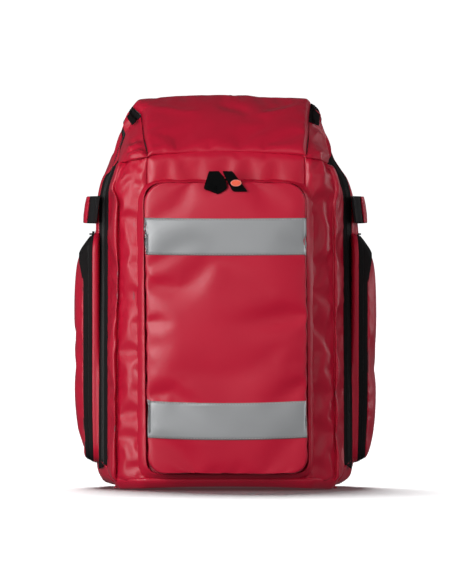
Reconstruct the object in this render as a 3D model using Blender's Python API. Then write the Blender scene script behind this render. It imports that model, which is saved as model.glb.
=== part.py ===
"""Trauma backpack of coated red fabric: a clamshell door on a rear tub, with pockets, zips, straps and a frame.

Metres, +Z up. The front of the pack faces -Y. The origin is on the floor, under the middle of the pack.
"""

import math

import bmesh
import bpy
from mathutils import Matrix, Vector

MM = 0.001

# Fabric and clearances
WALL = 3.0 * MM
CLEARANCE = 0.4 * MM
ARC_STEPS = 4

# Rear tub: outline of its mouth, seen from the front
TUB_HALF_WIDTH = 178 * MM
TUB_SHOULDER_Z = 415 * MM
TUB_TOP_HALF_WIDTH = 134.5 * MM
TUB_CORNER_Z = 536 * MM
TUB_CROWN_Z = 540 * MM
TUB_BASE_RADIUS = 30 * MM
TUB_SHOULDER_RADIUS = 120 * MM
TUB_CORNER_RADIUS = 14 * MM
TUB_CROWN_RADIUS = 400 * MM
BACK_Y = 112 * MM
BACK_EDGE = 10 * MM
BACK_DROP = 12 * MM

# Main zip: it leans back from the fold in the base, and steps in from the tub to the door
FOLD_Y = -35 * MM
ZIP_LEAN = 0.097
ZIP_HALF_DEPTH = 8.6 * MM
ZIP_STEP = 6.5 * MM
ZIP_RISE = 3.0 * MM
TAPE_THICKNESS = 2.4 * MM

# Clamshell door
FRONT_Y = -104 * MM
FRONT_HALF_WIDTH = 118 * MM
FRONT_SHOULDER_Z = 395 * MM
FRONT_TOP_HALF_WIDTH = 113 * MM
FRONT_CORNER_Z = 450 * MM
FRONT_CROWN_Z = 466 * MM
FRONT_RADIUS = 14 * MM

# Side facets of the door, drawn back from the front panel, and the hood's seams on the slope above it
FACET_DEPTH = 34 * MM
FACET_BASE_HALF_WIDTH = 153 * MM
FACET_HALF_WIDTH = 150 * MM
FACET_TOP_HALF_WIDTH = 147 * MM
FACET_CORNER_Z = 462 * MM
HOOD_SEAM_HALF_WIDTH = 110 * MM
HOOD_SEAM_DROP = 1.5 * MM
HOOD_SEAM_RADIUS = 4 * MM
HOOD_OVERHANG = 3 * MM

# Base boot
BOOT_THICKNESS = 3 * MM
BOOT_FRONT_HEIGHT = 16 * MM
BOOT_BACK_HEIGHT = 30 * MM
BASE_Z = BOOT_THICKNESS + CLEARANCE

# Front pocket
POCKET_HALF_WIDTH = 123 * MM
POCKET_BOTTOM_Z = 18 * MM
POCKET_TOP_Z = 431 * MM
POCKET_RADIUS = 40 * MM
FLANGE_DEPTH = 10 * MM
FLANGE_TAPER = 10 * MM
COVER_DEPTH = 26 * MM
COVER_TAPER = 1 * MM
COVER_EDGE = 4 * MM
BAND_HEIGHT = 51 * MM
BAND_THICKNESS = 0.8 * MM
UPPER_BAND_Z = 351 * MM
LOWER_BAND_Z = 96 * MM

# Zip sliders and pulls of the front pocket
SLIDER_WIDTH = 10 * MM
SLIDER_HEIGHT = 19 * MM
SLIDER_SPACING = 19 * MM
SLIDER_MIDDLE_X = -7.5 * MM
PULL_HEAD = 1 * MM
PULL_TOP_WIDTH = 13 * MM
PULL_END_WIDTH = 18.5 * MM
PULL_LENGTH = 26 * MM
PULL_THICKNESS = 4 * MM
LEFT_PULL_LEAN = -4 * MM
RIGHT_PULL_LEAN = 17 * MM
LEFT_PULL_SLANT = 7 * MM
RIGHT_PULL_SLANT = 0 * MM
DOT_HALF_WIDTH = 6.6 * MM
DOT_HALF_HEIGHT = 4.6 * MM
DOT_THICKNESS = 1 * MM
DOT_DROP = 14 * MM
DOT_SHIFT = 10.5 * MM

# Top pocket in the slope of the door
FLAP_HALF_WIDTH = 113 * MM
FLAP_START = 58 * MM
FLAP_END_MARGIN = 4 * MM
FLAP_THICKNESS = 4 * MM
TOP_TAPE_OUTSET = 13 * MM
TOP_TAPE_THICKNESS = 1.6 * MM
TOP_OPENING_HALF_WIDTH = 100 * MM
TOP_OPENING_START = 66 * MM
TOP_OPENING_LENGTH = 44 * MM
TOP_LINER_DEPTH = 22 * MM

# Side pockets
SIDE_FRONT_Y = -11 * MM
SIDE_BACK_Y = 86 * MM
SIDE_BOTTOM_Z = 36 * MM
SIDE_TOP_Z = 356 * MM
SIDE_RADIUS = 26 * MM
SIDE_GUSSET = 7.6 * MM
SIDE_TAPE = 6.4 * MM
SIDE_TAPE_TAPER = 3 * MM
SIDE_COVER_DEPTH = 11 * MM
SIDE_COVER_TAPER = 14 * MM
SIDE_SLIDER_LENGTH = 14 * MM
SIDE_SLIDER_HEIGHT = 6 * MM
SIDE_SLIDER_INSET = 34 * MM
SIDE_SLIDER_INWARD = 3.2 * MM

# Side grab handles
GRAB_ABOVE_POCKET = 16 * MM
GRAB_Z = SIDE_TOP_Z + GRAB_ABOVE_POCKET
GRAB_HEIGHT = 38 * MM
GRAB_FRONT_Y = -11 * MM
GRAB_LENGTH = 118 * MM
GRAB_FOOT = 16 * MM
GRAB_RISE = 17 * MM
GRAB_STANDOFF = 14 * MM
GRAB_THICKNESS = 3 * MM

# Frame and inner fittings
SHEET_HALF_WIDTH = 130 * MM
SHEET_BOTTOM_Z = 24 * MM
SHEET_TOP_Z = 490 * MM
SHEET_THICKNESS = 2 * MM
STAY_X = 62 * MM
STAY_WIDTH = 20 * MM
STAY_THICKNESS = 3 * MM
STAY_MARGIN = 18 * MM
BOARD_THICKNESS = 3 * MM
DIVIDER_THICKNESS = 8 * MM
LOWER_DIVIDER_Z = 185 * MM
UPPER_DIVIDER_Z = 335 * MM
MESH_THICKNESS = 1.6 * MM
MESH_MARGIN = 16 * MM
MESH_TOP_Z = 380 * MM

# Back pads, straps and handle
PAD_THICKNESS = 15 * MM
PAD_CROWN = 4 * MM
PAD_HALF_WIDTH = 46 * MM
PAD_X = 62 * MM
PAD_BOTTOM_Z = 138 * MM
PAD_TOP_Z = 410 * MM
LUMBAR_BOTTOM_Z = 40 * MM
LUMBAR_GAP = 8 * MM
PAD_RADIUS = 20 * MM
YOKE_HALF_WIDTH = 104 * MM
YOKE_BOTTOM_Z = 417 * MM
YOKE_TOP_Z = 449 * MM
STRAP_THICKNESS = 13 * MM
STRAP_TOP_X = 66 * MM
STRAP_TOP_WIDTH = 58 * MM
STRAP_WIDTH = 64 * MM
STRAP_END_X = 88 * MM
STRAP_END_WIDTH = 42 * MM
STRAP_PIVOT_Z = 436 * MM
STRAP_END_Z = 196 * MM
LOCK_WIDTH = 34 * MM
LOCK_HEIGHT = 22 * MM
LOCK_THICKNESS = 8 * MM
WEBBING_WIDTH = 25 * MM
WEBBING_THICKNESS = 2 * MM
ANCHOR_Z = 62 * MM
ANCHOR_LIP = 6 * MM
STERNUM_Z = 360 * MM
STERNUM_WIDTH = 20 * MM
STERNUM_THICKNESS = 2.4 * MM
BUCKLE_LENGTH = 22 * MM
BUCKLE_WIDTH = 28 * MM
BUCKLE_THICKNESS = 9 * MM
HAUL_HALF_WIDTH = 52 * MM
HAUL_TOP_DROP = 37 * MM
HAUL_PIVOT_Z = TUB_CROWN_Z - HAUL_TOP_DROP
HAUL_DROP = 47 * MM
HAUL_BAND = 14 * MM
HAUL_THICKNESS = 5 * MM
HAUL_TAB_HEIGHT = 12 * MM

# Main zip sliders
MAIN_SLIDER_SPACING = 14 * MM
MAIN_SLIDER_WIDTH = 10 * MM
MAIN_SLIDER_HEIGHT = 6 * MM
MAIN_SLIDER_LENGTH = 16 * MM
MAIN_PULL_LENGTH = 30 * MM
MAIN_PULL_THICKNESS = 3 * MM


# Materials
def material(name, colour, roughness, metallic=0.0):
    made = bpy.data.materials.new(name)
    made.use_nodes = True
    shader = made.node_tree.nodes["Principled BSDF"]
    shader.inputs["Base Color"].default_value = (*colour, 1.0)
    shader.inputs["Roughness"].default_value = roughness
    shader.inputs["Metallic"].default_value = metallic
    return made


def clear_scene():
    for old in list(bpy.data.objects):
        bpy.data.objects.remove(old)


# Outlines
def arc_corner(before, corner, after, radius):
    """Points of the arc that rounds one corner of a convex outline."""
    corner = Vector(corner)
    inward = (Vector(before) - corner).normalized()
    outward = (Vector(after) - corner).normalized()
    half_angle = inward.angle(outward) / 2
    reach = radius / math.tan(half_angle)
    centre = corner + (inward + outward).normalized() * (radius / math.sin(half_angle))
    start = corner + inward * reach - centre
    end = corner + outward * reach - centre
    sweep = start.angle_signed(end)
    points = []
    for step in range(ARC_STEPS + 1):
        turn = Matrix.Rotation(-sweep * step / ARC_STEPS, 2)
        points.append(centre + turn @ start)
    return points


def rounded(corners):
    """Outline points of a convex polygon whose corners are (u, v, radius)."""
    points = []
    for index, (u, v, radius) in enumerate(corners):
        before = corners[index - 1][:2]
        after = corners[(index + 1) % len(corners)][:2]
        points += arc_corner(before, (u, v), after, radius)
    return points


def shrunk(corners, inset):
    """The same corners with every edge moved inward; the outline runs anticlockwise."""
    moved = []
    for index, (u, v, radius) in enumerate(corners):
        corner = Vector((u, v))
        first = (corner - Vector(corners[index - 1][:2])).normalized()
        second = (Vector(corners[(index + 1) % len(corners)][:2]) - corner).normalized()
        first_normal = Vector((-first.y, first.x))
        second_normal = Vector((-second.y, second.x))
        shift = (first_normal + second_normal) * (inset / (1 + first_normal.dot(second_normal)))
        least = MM
        moved.append((u + shift.x, v + shift.y, max(radius - inset, least)))
    return moved


def mirrored(right_corners, crown=()):
    """A whole outline from its right half, bottom to top, with an optional corner on the middle line."""
    left_corners = [(-u, v, radius) for u, v, radius in reversed(right_corners)]
    return [*right_corners, *crown, *left_corners]


def zip_corners(side):
    """Outline of the main zip at the door's edge (-1), at the coil (0) or at the tub's edge (1)."""
    inward = (1 - side) * ZIP_STEP
    rise = (1 - side) * ZIP_RISE
    right = [
        (TUB_HALF_WIDTH - inward, BASE_Z, TUB_BASE_RADIUS),
        (TUB_HALF_WIDTH - inward, TUB_SHOULDER_Z, TUB_SHOULDER_RADIUS),
        (TUB_TOP_HALF_WIDTH - inward, TUB_CORNER_Z + rise, TUB_CORNER_RADIUS),
    ]
    return mirrored(right, [(0.0, TUB_CROWN_Z + rise, TUB_CROWN_RADIUS)])


def back_corners():
    right = [
        (TUB_HALF_WIDTH, BASE_Z, TUB_BASE_RADIUS),
        (TUB_HALF_WIDTH, TUB_SHOULDER_Z, TUB_SHOULDER_RADIUS),
        (TUB_TOP_HALF_WIDTH, TUB_CORNER_Z - BACK_DROP, TUB_CORNER_RADIUS),
    ]
    return mirrored(right, [(0.0, TUB_CROWN_Z - BACK_DROP, TUB_CROWN_RADIUS)])


def hood_seam(crown_z):
    """Corner of a door outline where the hood's side seam crosses it."""
    return (HOOD_SEAM_HALF_WIDTH, crown_z - HOOD_SEAM_DROP, HOOD_SEAM_RADIUS)


def door_edge_corners():
    """The door's edge at the zip, with the hood's seams."""
    corners = zip_corners(-1)
    right = corners[: len(corners) // 2]
    crown = corners[len(right)]
    top = right[-1]
    share = HOOD_SEAM_HALF_WIDTH / top[0]
    on_edge = crown[1] + (top[1] - crown[1]) * share
    lift = CLEARANCE / 2
    return mirrored([*right, (HOOD_SEAM_HALF_WIDTH, on_edge + lift, MM)], [crown])


def facet_corners():
    """The door where its side facets end, a facet's depth behind the front panel."""
    crown_z = FRONT_CROWN_Z + FACET_DEPTH * math.tan(slope_frame()[1])
    right = [
        (FACET_BASE_HALF_WIDTH, BASE_Z, FRONT_RADIUS),
        (FACET_HALF_WIDTH, FRONT_SHOULDER_Z, TUB_SHOULDER_RADIUS),
        (FACET_TOP_HALF_WIDTH, FACET_CORNER_Z, FRONT_RADIUS),
        hood_seam(crown_z),
    ]
    return mirrored(right, [(0.0, crown_z, TUB_CROWN_RADIUS)])


def front_corners():
    right = [
        (FRONT_HALF_WIDTH, BASE_Z, FRONT_RADIUS),
        (FRONT_HALF_WIDTH - CLEARANCE, FRONT_SHOULDER_Z, TUB_SHOULDER_RADIUS),
        (FRONT_TOP_HALF_WIDTH, FRONT_CORNER_Z, FRONT_RADIUS),
        hood_seam(FRONT_CROWN_Z),
    ]
    return mirrored(right, [(0.0, FRONT_CROWN_Z, TUB_CROWN_RADIUS)])


def pocket_corners():
    right = [
        (POCKET_HALF_WIDTH, POCKET_BOTTOM_Z, POCKET_RADIUS),
        (POCKET_HALF_WIDTH, POCKET_TOP_Z, POCKET_RADIUS),
    ]
    return mirrored(right)


def box_corners(low_u, high_u, low_v, high_v, radius):
    return [
        (low_u, low_v, radius),
        (high_u, low_v, radius),
        (high_u, high_v, radius),
        (low_u, high_v, radius),
    ]


# Rings of points in space
def front_ring(corners, y, lean=0.0):
    """An outline in x and z, at depth y, leaning back with height."""
    return [Vector((u, y + lean * v, v)) for u, v in rounded(corners)]


def side_ring(corners, x):
    """An outline in y and z, at a distance x to one side."""
    return [Vector((x, u, v)) for u, v in rounded(corners)]


def flat_ring(corners, z):
    return [Vector((u, v, z)) for u, v in rounded(corners)]


# Solids
def finish(name, mesh_work, look, smooth_angle=40):
    bmesh.ops.recalc_face_normals(mesh_work, faces=mesh_work.faces)
    mesh = bpy.data.meshes.new(name)
    mesh_work.to_mesh(mesh)
    mesh_work.free()
    mesh.shade_smooth()
    mesh.set_sharp_from_angle(angle=math.radians(smooth_angle))
    mesh.materials.append(look)
    made = bpy.data.objects.new(name, mesh)
    bpy.context.scene.collection.objects.link(made)
    return made


def bridge(mesh_work, first, second, closed=True):
    count = len(first)
    for index in range(count if closed else count - 1):
        following = (index + 1) % count
        mesh_work.faces.new((first[index], first[following], second[following], second[index]))


def lofted(name, rings, look):
    """A closed solid through a row of rings, capped at both ends."""
    work = bmesh.new()
    loops = [[work.verts.new(point) for point in ring] for ring in rings]
    for first, second in zip(loops, loops[1:]):
        bridge(work, first, second)
    work.faces.new(loops[0])
    work.faces.new(loops[-1])
    return finish(name, work, look)


def tub(name, outer_rings, inner_rings, look):
    """A cup: the rings run from the mouth to the closed end, outside and inside."""
    return lofted(name, [*reversed(outer_rings), *inner_rings], look)


def frame(name, outer_rings, inner_rings, look):
    """A ring-shaped wall with no floor: outside rings and inside rings over the same depth."""
    work = bmesh.new()
    rows = [*outer_rings, *reversed(inner_rings)]
    loops = [[work.verts.new(point) for point in ring] for ring in rows]
    for index, loop in enumerate(loops):
        bridge(work, loop, loops[(index + 1) % len(loops)])
    return finish(name, work, look)


def ribbon(name, sections, look):
    """A strip along an open path, from a row of four-point sections."""
    work = bmesh.new()
    loops = [[work.verts.new(point) for point in section] for section in sections]
    for first, second in zip(loops, loops[1:]):
        bridge(work, first, second)
    work.faces.new(loops[0])
    work.faces.new(loops[-1])
    return finish(name, work, look)


def prism(name, polygon, offset, look):
    """A flat polygon in space, extruded by an offset."""
    far = [Vector(point) + Vector(offset) for point in polygon]
    return lofted(name, [[Vector(point) for point in polygon], far], look)


def block(name, low, high, look, radius=None):
    """A box between two corners, with its upright edges rounded where a radius is given."""
    (x0, y0, z0), (x1, y1, z1) = low, high
    if radius is None:
        base = [(x0, y0, z0), (x1, y0, z0), (x1, y1, z0), (x0, y1, z0)]
        return prism(name, base, (0, 0, z1 - z0), look)
    corners = box_corners(x0, x1, y0, y1, radius)
    return lofted(name, [flat_ring(corners, z0), flat_ring(corners, z1)], look)


# Placing
def pivot(name, position, parent=None):
    """An empty on a joint's axis; the pieces that turn or slide there hang on it."""
    made = bpy.data.objects.new(name, None)
    bpy.context.scene.collection.objects.link(made)
    made.parent = parent
    base = parent["place"] if parent else (0, 0, 0)
    made.location = Vector(position) - Vector(base)
    made["place"] = tuple(position)
    return made


def hang(pieces, parent):
    for piece in pieces:
        piece.location = piece.location - Vector(parent["place"])
        piece.parent = parent


# Main compartment
def make_rear_tub(red):
    mouth_y = FOLD_Y + ZIP_HALF_DEPTH + CLEARANCE
    mouth = zip_corners(1)
    back = back_corners()
    outer = [
        front_ring(mouth, mouth_y, ZIP_LEAN),
        front_ring(back, BACK_Y - BACK_EDGE),
        front_ring(shrunk(back, BACK_EDGE), BACK_Y),
    ]
    inner = [
        front_ring(shrunk(mouth, WALL), mouth_y, ZIP_LEAN),
        front_ring(shrunk(back, WALL), BACK_Y - BACK_EDGE),
        front_ring(shrunk(back, BACK_EDGE), BACK_Y - WALL),
    ]
    return tub("rear_tub", outer, inner, red)


def zip_path(corners, y):
    """The zip's run up one side, over the top and down the other; it starts above the base corners."""
    points = front_ring(corners, y, ZIP_LEAN)
    return points[ARC_STEPS:-ARC_STEPS]


def make_zip_tape(name, edge_side, look):
    """Half of the main zip, from the coil to the door's edge (-1) or to the tub's edge (1)."""
    edge = zip_corners(edge_side)
    coil = zip_corners(0)
    edge_y = FOLD_Y + edge_side * ZIP_HALF_DEPTH
    coil_y = FOLD_Y + edge_side * CLEARANCE / 2
    rows = [
        zip_path(edge, edge_y),
        zip_path(coil, coil_y),
        zip_path(shrunk(coil, TAPE_THICKNESS), coil_y),
        zip_path(shrunk(edge, TAPE_THICKNESS), edge_y),
    ]
    return ribbon(name, list(zip(*rows)), look)


def make_rear_boot(red):
    floor_end = BACK_Y + CLEARANCE + BOOT_THICKNESS
    profile = [
        (FOLD_Y + CLEARANCE, 0),
        (floor_end, 0),
        (floor_end, BOOT_BACK_HEIGHT),
        (BACK_Y + CLEARANCE, BOOT_BACK_HEIGHT),
        (BACK_Y + CLEARANCE, BOOT_THICKNESS),
        (FOLD_Y + CLEARANCE, BOOT_THICKNESS),
    ]
    half = boot_half_width()
    polygon = [(-half, y, z) for y, z in profile]
    return prism("rear_boot", polygon, (2 * half, 0, 0), red)


def make_frame_parts(plastic, aluminium):
    sheet_back = BACK_Y - WALL - CLEARANCE
    sheet_front = sheet_back - SHEET_THICKNESS
    stay_back = sheet_front - CLEARANCE
    sheet_low = (-SHEET_HALF_WIDTH, sheet_front, SHEET_BOTTOM_Z)
    sheet_high = (SHEET_HALF_WIDTH, sheet_back, SHEET_TOP_Z)
    made = [block("frame_sheet", sheet_low, sheet_high, plastic)]
    for side, name in ((-1, "frame_stay_left"), (1, "frame_stay_right")):
        x = side * STAY_X
        low = (x - STAY_WIDTH / 2, stay_back - STAY_THICKNESS, SHEET_BOTTOM_Z + STAY_MARGIN)
        high = (x + STAY_WIDTH / 2, stay_back, SHEET_TOP_Z - STAY_MARGIN)
        made.append(block(name, low, high, aluminium))
    return made


def inside_back():
    """The back of the clear space, in front of the stays and of the tub's drawn-in rear edge."""
    layers = (SHEET_THICKNESS, STAY_THICKNESS)
    in_front_of_stays = BACK_Y - WALL - sum(layer + CLEARANCE for layer in layers) - CLEARANCE
    return min(in_front_of_stays, BACK_Y - BACK_EDGE - CLEARANCE)


def make_inner_fittings(board_look, padding):
    board_bottom = BASE_Z + WALL + CLEARANCE
    board_half = TUB_HALF_WIDTH - TUB_BASE_RADIUS
    board_front = FOLD_Y + ZIP_HALF_DEPTH + ZIP_LEAN * board_bottom + WALL
    low = (-board_half, board_front, board_bottom)
    high = (board_half, inside_back() - BACK_EDGE, board_bottom + BOARD_THICKNESS)
    made = [block("base_board", low, high, board_look)]
    half = TUB_HALF_WIDTH - WALL - CLEARANCE
    for name, z in (("lower_divider", LOWER_DIVIDER_Z), ("upper_divider", UPPER_DIVIDER_Z)):
        front = FOLD_Y + ZIP_HALF_DEPTH + WALL + ZIP_LEAN * (z + DIVIDER_THICKNESS)
        low = (-half, front, z)
        high = (half, inside_back(), z + DIVIDER_THICKNESS)
        made.append(block(name, low, high, padding))
    return made


# Clamshell door
def door_edge_y():
    return FOLD_Y - ZIP_HALF_DEPTH - CLEARANCE


def slope_frame():
    """Foot of the hood's slope on the middle line, its angle and its length."""
    foot = Vector((0, FRONT_Y, FRONT_CROWN_Z))
    crown = TUB_CROWN_Z + 2 * ZIP_RISE
    head = Vector((0, door_edge_y() + ZIP_LEAN * crown, crown))
    run = head - foot
    return foot, math.atan2(run.z, run.y), run.length


def make_door_shell(red):
    edge = door_edge_corners()
    facet = facet_corners()
    front = front_corners()
    outer = [
        front_ring(edge, door_edge_y(), ZIP_LEAN),
        front_ring(facet, FRONT_Y + FACET_DEPTH),
        front_ring(front, FRONT_Y),
    ]
    inner = [
        front_ring(shrunk(edge, WALL), door_edge_y(), ZIP_LEAN),
        front_ring(shrunk(facet, WALL), FRONT_Y + FACET_DEPTH),
        front_ring(shrunk(front, WALL), FRONT_Y + WALL),
    ]
    shell = tub("door_shell", outer, inner, red)
    cutter = block(
        "top_opening_cutter",
        (-TOP_OPENING_HALF_WIDTH, TOP_OPENING_START, -4 * WALL),
        (TOP_OPENING_HALF_WIDTH, TOP_OPENING_START + TOP_OPENING_LENGTH, 4 * WALL),
        red,
    )
    lay_on_slope(cutter)
    cutter.hide_render = True
    cutter.display_type = "WIRE"
    cut = shell.modifiers.new("top_opening", "BOOLEAN")
    cut.operation = "DIFFERENCE"
    cut.object = cutter
    return shell, cutter


def lay_on_slope(piece):
    """Places a piece modelled flat (x across, y up the slope, z off it) on the hood's slope."""
    foot, angle, _ = slope_frame()
    piece.rotation_euler = (angle, 0, 0)
    piece.location = foot


def boot_plan(spread):
    """Corners of the door's base seen from above, spread outward; its back edge stays short of the fold."""
    back = FOLD_Y - CLEARANCE - spread
    facet_y = FRONT_Y + FACET_DEPTH
    plan = [
        (-FRONT_HALF_WIDTH, FRONT_Y, 0),
        (FRONT_HALF_WIDTH, FRONT_Y, 0),
        (FACET_BASE_HALF_WIDTH, facet_y, 0),
        (FACET_BASE_HALF_WIDTH, back, 0),
        (-FACET_BASE_HALF_WIDTH, back, 0),
        (-FACET_BASE_HALF_WIDTH, facet_y, 0),
    ]
    return [(u, v) for u, v, _ in shrunk(plan, -spread)]


def boot_half_width():
    return FACET_BASE_HALF_WIDTH + CLEARANCE + BOOT_THICKNESS


def make_door_boot(red):
    """A floor with an upstand along the front and the two facets."""
    outer = boot_plan(CLEARANCE + BOOT_THICKNESS)
    inner = boot_plan(CLEARANCE)
    boot = prism("door_boot", [(x, y, 0) for x, y in outer], (0, 0, BOOT_FRONT_HEIGHT), red)
    front_left, front_right, facet_right, _, _, facet_left = inner
    clear = 2 * FACET_BASE_HALF_WIDTH
    room = [front_left, front_right, facet_right, (clear, facet_right[1]), (clear, clear), (-clear, clear)]
    room += [(-clear, facet_left[1]), facet_left]
    polygon = [(x, y, BOOT_THICKNESS) for x, y in room]
    cutter = prism("boot_room_cutter", polygon, (0, 0, 2 * BOOT_FRONT_HEIGHT), red)
    cutter.hide_render = True
    cutter.display_type = "WIRE"
    cut = boot.modifiers.new("boot_room", "BOOLEAN")
    cut.operation = "DIFFERENCE"
    cut.object = cutter
    return boot, cutter


def make_door_mesh(mesh_look):
    y = FRONT_Y + WALL + CLEARANCE
    half = FRONT_HALF_WIDTH - MESH_MARGIN
    low = (-half, y, BASE_Z + MESH_MARGIN)
    return block("door_mesh_pocket", low, (half, y + MESH_THICKNESS, MESH_TOP_Z), mesh_look)


def flap_seat():
    """Height of the flap's underside off the slope."""
    return CLEARANCE + TOP_TAPE_THICKNESS + CLEARANCE


def make_hood_panel(red):
    """The padded panel of the hood in front of the flap; its lower edge overhangs the front panel."""
    end = FLAP_START - CLEARANCE
    foot_half = HOOD_SEAM_HALF_WIDTH - HOOD_SEAM_RADIUS
    shape = [
        (-foot_half, -HOOD_OVERHANG),
        (foot_half, -HOOD_OVERHANG),
        (FLAP_HALF_WIDTH, end),
        (-FLAP_HALF_WIDTH, end),
    ]
    polygon = [(x, y, CLEARANCE) for x, y in shape]
    panel = prism("hood_panel", polygon, (0, 0, flap_seat() + FLAP_THICKNESS - CLEARANCE), red)
    lay_on_slope(panel)
    return panel


def make_top_pocket(red, black, lining):
    length = slope_frame()[2]
    tape_low = CLEARANCE
    flap_end = length - FLAP_END_MARGIN
    outer_half = FLAP_HALF_WIDTH + TOP_TAPE_OUTSET
    opening_end = TOP_OPENING_START + TOP_OPENING_LENGTH
    outline = [
        (-outer_half, FLAP_START + TOP_TAPE_OUTSET),
        (-outer_half, FLAP_START + 2 * TOP_TAPE_OUTSET),
        (-FLAP_HALF_WIDTH, flap_end),
        (FLAP_HALF_WIDTH, flap_end),
        (outer_half, FLAP_START + 2 * TOP_TAPE_OUTSET),
        (outer_half, FLAP_START + TOP_TAPE_OUTSET),
        (TOP_OPENING_HALF_WIDTH, TOP_OPENING_START),
        (TOP_OPENING_HALF_WIDTH, opening_end),
        (-TOP_OPENING_HALF_WIDTH, opening_end),
        (-TOP_OPENING_HALF_WIDTH, TOP_OPENING_START),
    ]
    polygon = [(x, y, tape_low) for x, y in outline]
    tape = prism("top_zip_tape", polygon, (0, 0, TOP_TAPE_THICKNESS), black)

    flap_low = flap_seat()
    corners = box_corners(-FLAP_HALF_WIDTH, FLAP_HALF_WIDTH, FLAP_START, flap_end, FLAP_THICKNESS)
    crowned = shrunk(corners, FLAP_THICKNESS / 4)
    flap = lofted(
        "top_flap",
        [
            flat_ring(corners, flap_low),
            flat_ring(corners, flap_low + FLAP_THICKNESS / 2),
            flat_ring(crowned, flap_low + FLAP_THICKNESS),
        ],
        red,
    )

    rim = -WALL - CLEARANCE
    half = TOP_OPENING_HALF_WIDTH
    corners = box_corners(-half, half, TOP_OPENING_START, opening_end, WALL)
    inside = shrunk(corners, WALL / 2)
    liner = tub(
        "top_pocket_liner",
        [flat_ring(corners, rim), flat_ring(corners, rim - TOP_LINER_DEPTH)],
        [flat_ring(inside, rim), flat_ring(inside, rim - TOP_LINER_DEPTH + WALL / 2)],
        lining,
    )
    for piece in (tape, flap, liner):
        lay_on_slope(piece)
    return tape, flap, liner


# Front pocket
def flange_back_y():
    return FRONT_Y - CLEARANCE


def cover_back_y():
    return flange_back_y() - FLANGE_DEPTH - CLEARANCE


def cover_face_y():
    return cover_back_y() - COVER_DEPTH


def cover_face_corners():
    return shrunk(pocket_corners(), FLANGE_TAPER + COVER_TAPER + COVER_EDGE)


def make_front_pocket(red):
    base = pocket_corners()
    rim = shrunk(base, FLANGE_TAPER)
    flange_front = flange_back_y() - FLANGE_DEPTH
    flange = frame(
        "pocket_flange",
        [front_ring(base, flange_back_y()), front_ring(rim, flange_front)],
        [front_ring(shrunk(base, WALL), flange_back_y()), front_ring(shrunk(rim, WALL), flange_front)],
        red,
    )
    shoulder = shrunk(rim, COVER_TAPER)
    face = cover_face_corners()
    outer = [
        front_ring(rim, cover_back_y()),
        front_ring(shoulder, cover_face_y() + COVER_EDGE),
        front_ring(face, cover_face_y()),
    ]
    inner = [
        front_ring(shrunk(rim, WALL), cover_back_y()),
        front_ring(shrunk(shoulder, WALL), cover_face_y() + COVER_EDGE),
        front_ring(shrunk(face, WALL / 2), cover_face_y() + WALL),
    ]
    return flange, tub("pocket_cover", outer, inner, red)


def make_reflective_bands(silver):
    half = cover_face_corners()[1][0]
    back = cover_face_y() - CLEARANCE
    made = []
    for name, z in (("upper_band", UPPER_BAND_Z), ("lower_band", LOWER_BAND_Z)):
        low = (-half, back - BAND_THICKNESS, z - BAND_HEIGHT / 2)
        made.append(block(name, low, (half, back, z + BAND_HEIGHT / 2), silver))
    return made


def slider_bottom_z():
    return POCKET_TOP_Z - FLANGE_TAPER + CLEARANCE


def pull_pivot(x):
    return Vector((x, cover_face_y() - 2 * CLEARANCE - PULL_THICKNESS / 2, slider_bottom_z() + SLIDER_HEIGHT))


def make_front_slider(name, x, look):
    """The slider rides over the zip on top of the cover, and its nose carries the pull in front of the face."""
    low = (x - SLIDER_WIDTH / 2, cover_face_y() - CLEARANCE, slider_bottom_z())
    high = (x + SLIDER_WIDTH / 2, cover_back_y(), slider_bottom_z() + SLIDER_HEIGHT)
    return block(name, low, high, look)


def slider_x(side):
    return SLIDER_MIDDLE_X + side * SLIDER_SPACING / 2


def make_front_pull(name, x, lean, slant, look):
    """A moulded tab that hangs askew in front of the cover: level at its head, wider and slanted at its end."""
    centre = pull_pivot(x)
    front = centre.y - PULL_THICKNESS / 2
    head = centre.z + PULL_HEAD
    end = centre.z - PULL_LENGTH
    shape = [
        (x - PULL_TOP_WIDTH / 2, head),
        (x + lean - PULL_END_WIDTH / 2, end + slant / 2),
        (x + lean + PULL_END_WIDTH / 2, end - slant / 2),
        (x + PULL_TOP_WIDTH / 2, head),
    ]
    polygon = [(u, front, v) for u, v in shape]
    return prism(name, polygon, (0, PULL_THICKNESS, 0), look)


def make_pull_dot(x, orange):
    centre = pull_pivot(x)
    back = centre.y - PULL_THICKNESS / 2 - CLEARANCE
    middle_x = x + DOT_SHIFT
    middle_z = centre.z - DOT_DROP
    count = 16
    ring = []
    for step in range(count):
        angle = 2 * math.pi * step / count
        u = middle_x + DOT_HALF_WIDTH * math.cos(angle)
        ring.append((u, back, middle_z + DOT_HALF_HEIGHT * math.sin(angle)))
    return prism("pull_dot", ring, (0, -DOT_THICKNESS, 0), orange)


# Side pockets
def side_corners():
    return box_corners(SIDE_FRONT_Y, SIDE_BACK_Y, SIDE_BOTTOM_Z, SIDE_TOP_Z, SIDE_RADIUS)


def side_depths():
    """Distances from the middle of the pack: gusset, inner tape, outer tape and cover, each as (near, far)."""
    depths = []
    near = TUB_HALF_WIDTH + CLEARANCE
    for depth in (SIDE_GUSSET, SIDE_TAPE, SIDE_TAPE, SIDE_COVER_DEPTH):
        depths.append((near, near + depth))
        near += depth + CLEARANCE
    return depths


def side_frame(name, side, depth, taper_near, taper_far, look):
    near = shrunk(side_corners(), taper_near)
    far = shrunk(side_corners(), taper_far)
    return frame(
        name,
        [side_ring(near, side * depth[0]), side_ring(far, side * depth[1])],
        [side_ring(shrunk(near, WALL), side * depth[0]), side_ring(shrunk(far, WALL), side * depth[1])],
        look,
    )


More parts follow.
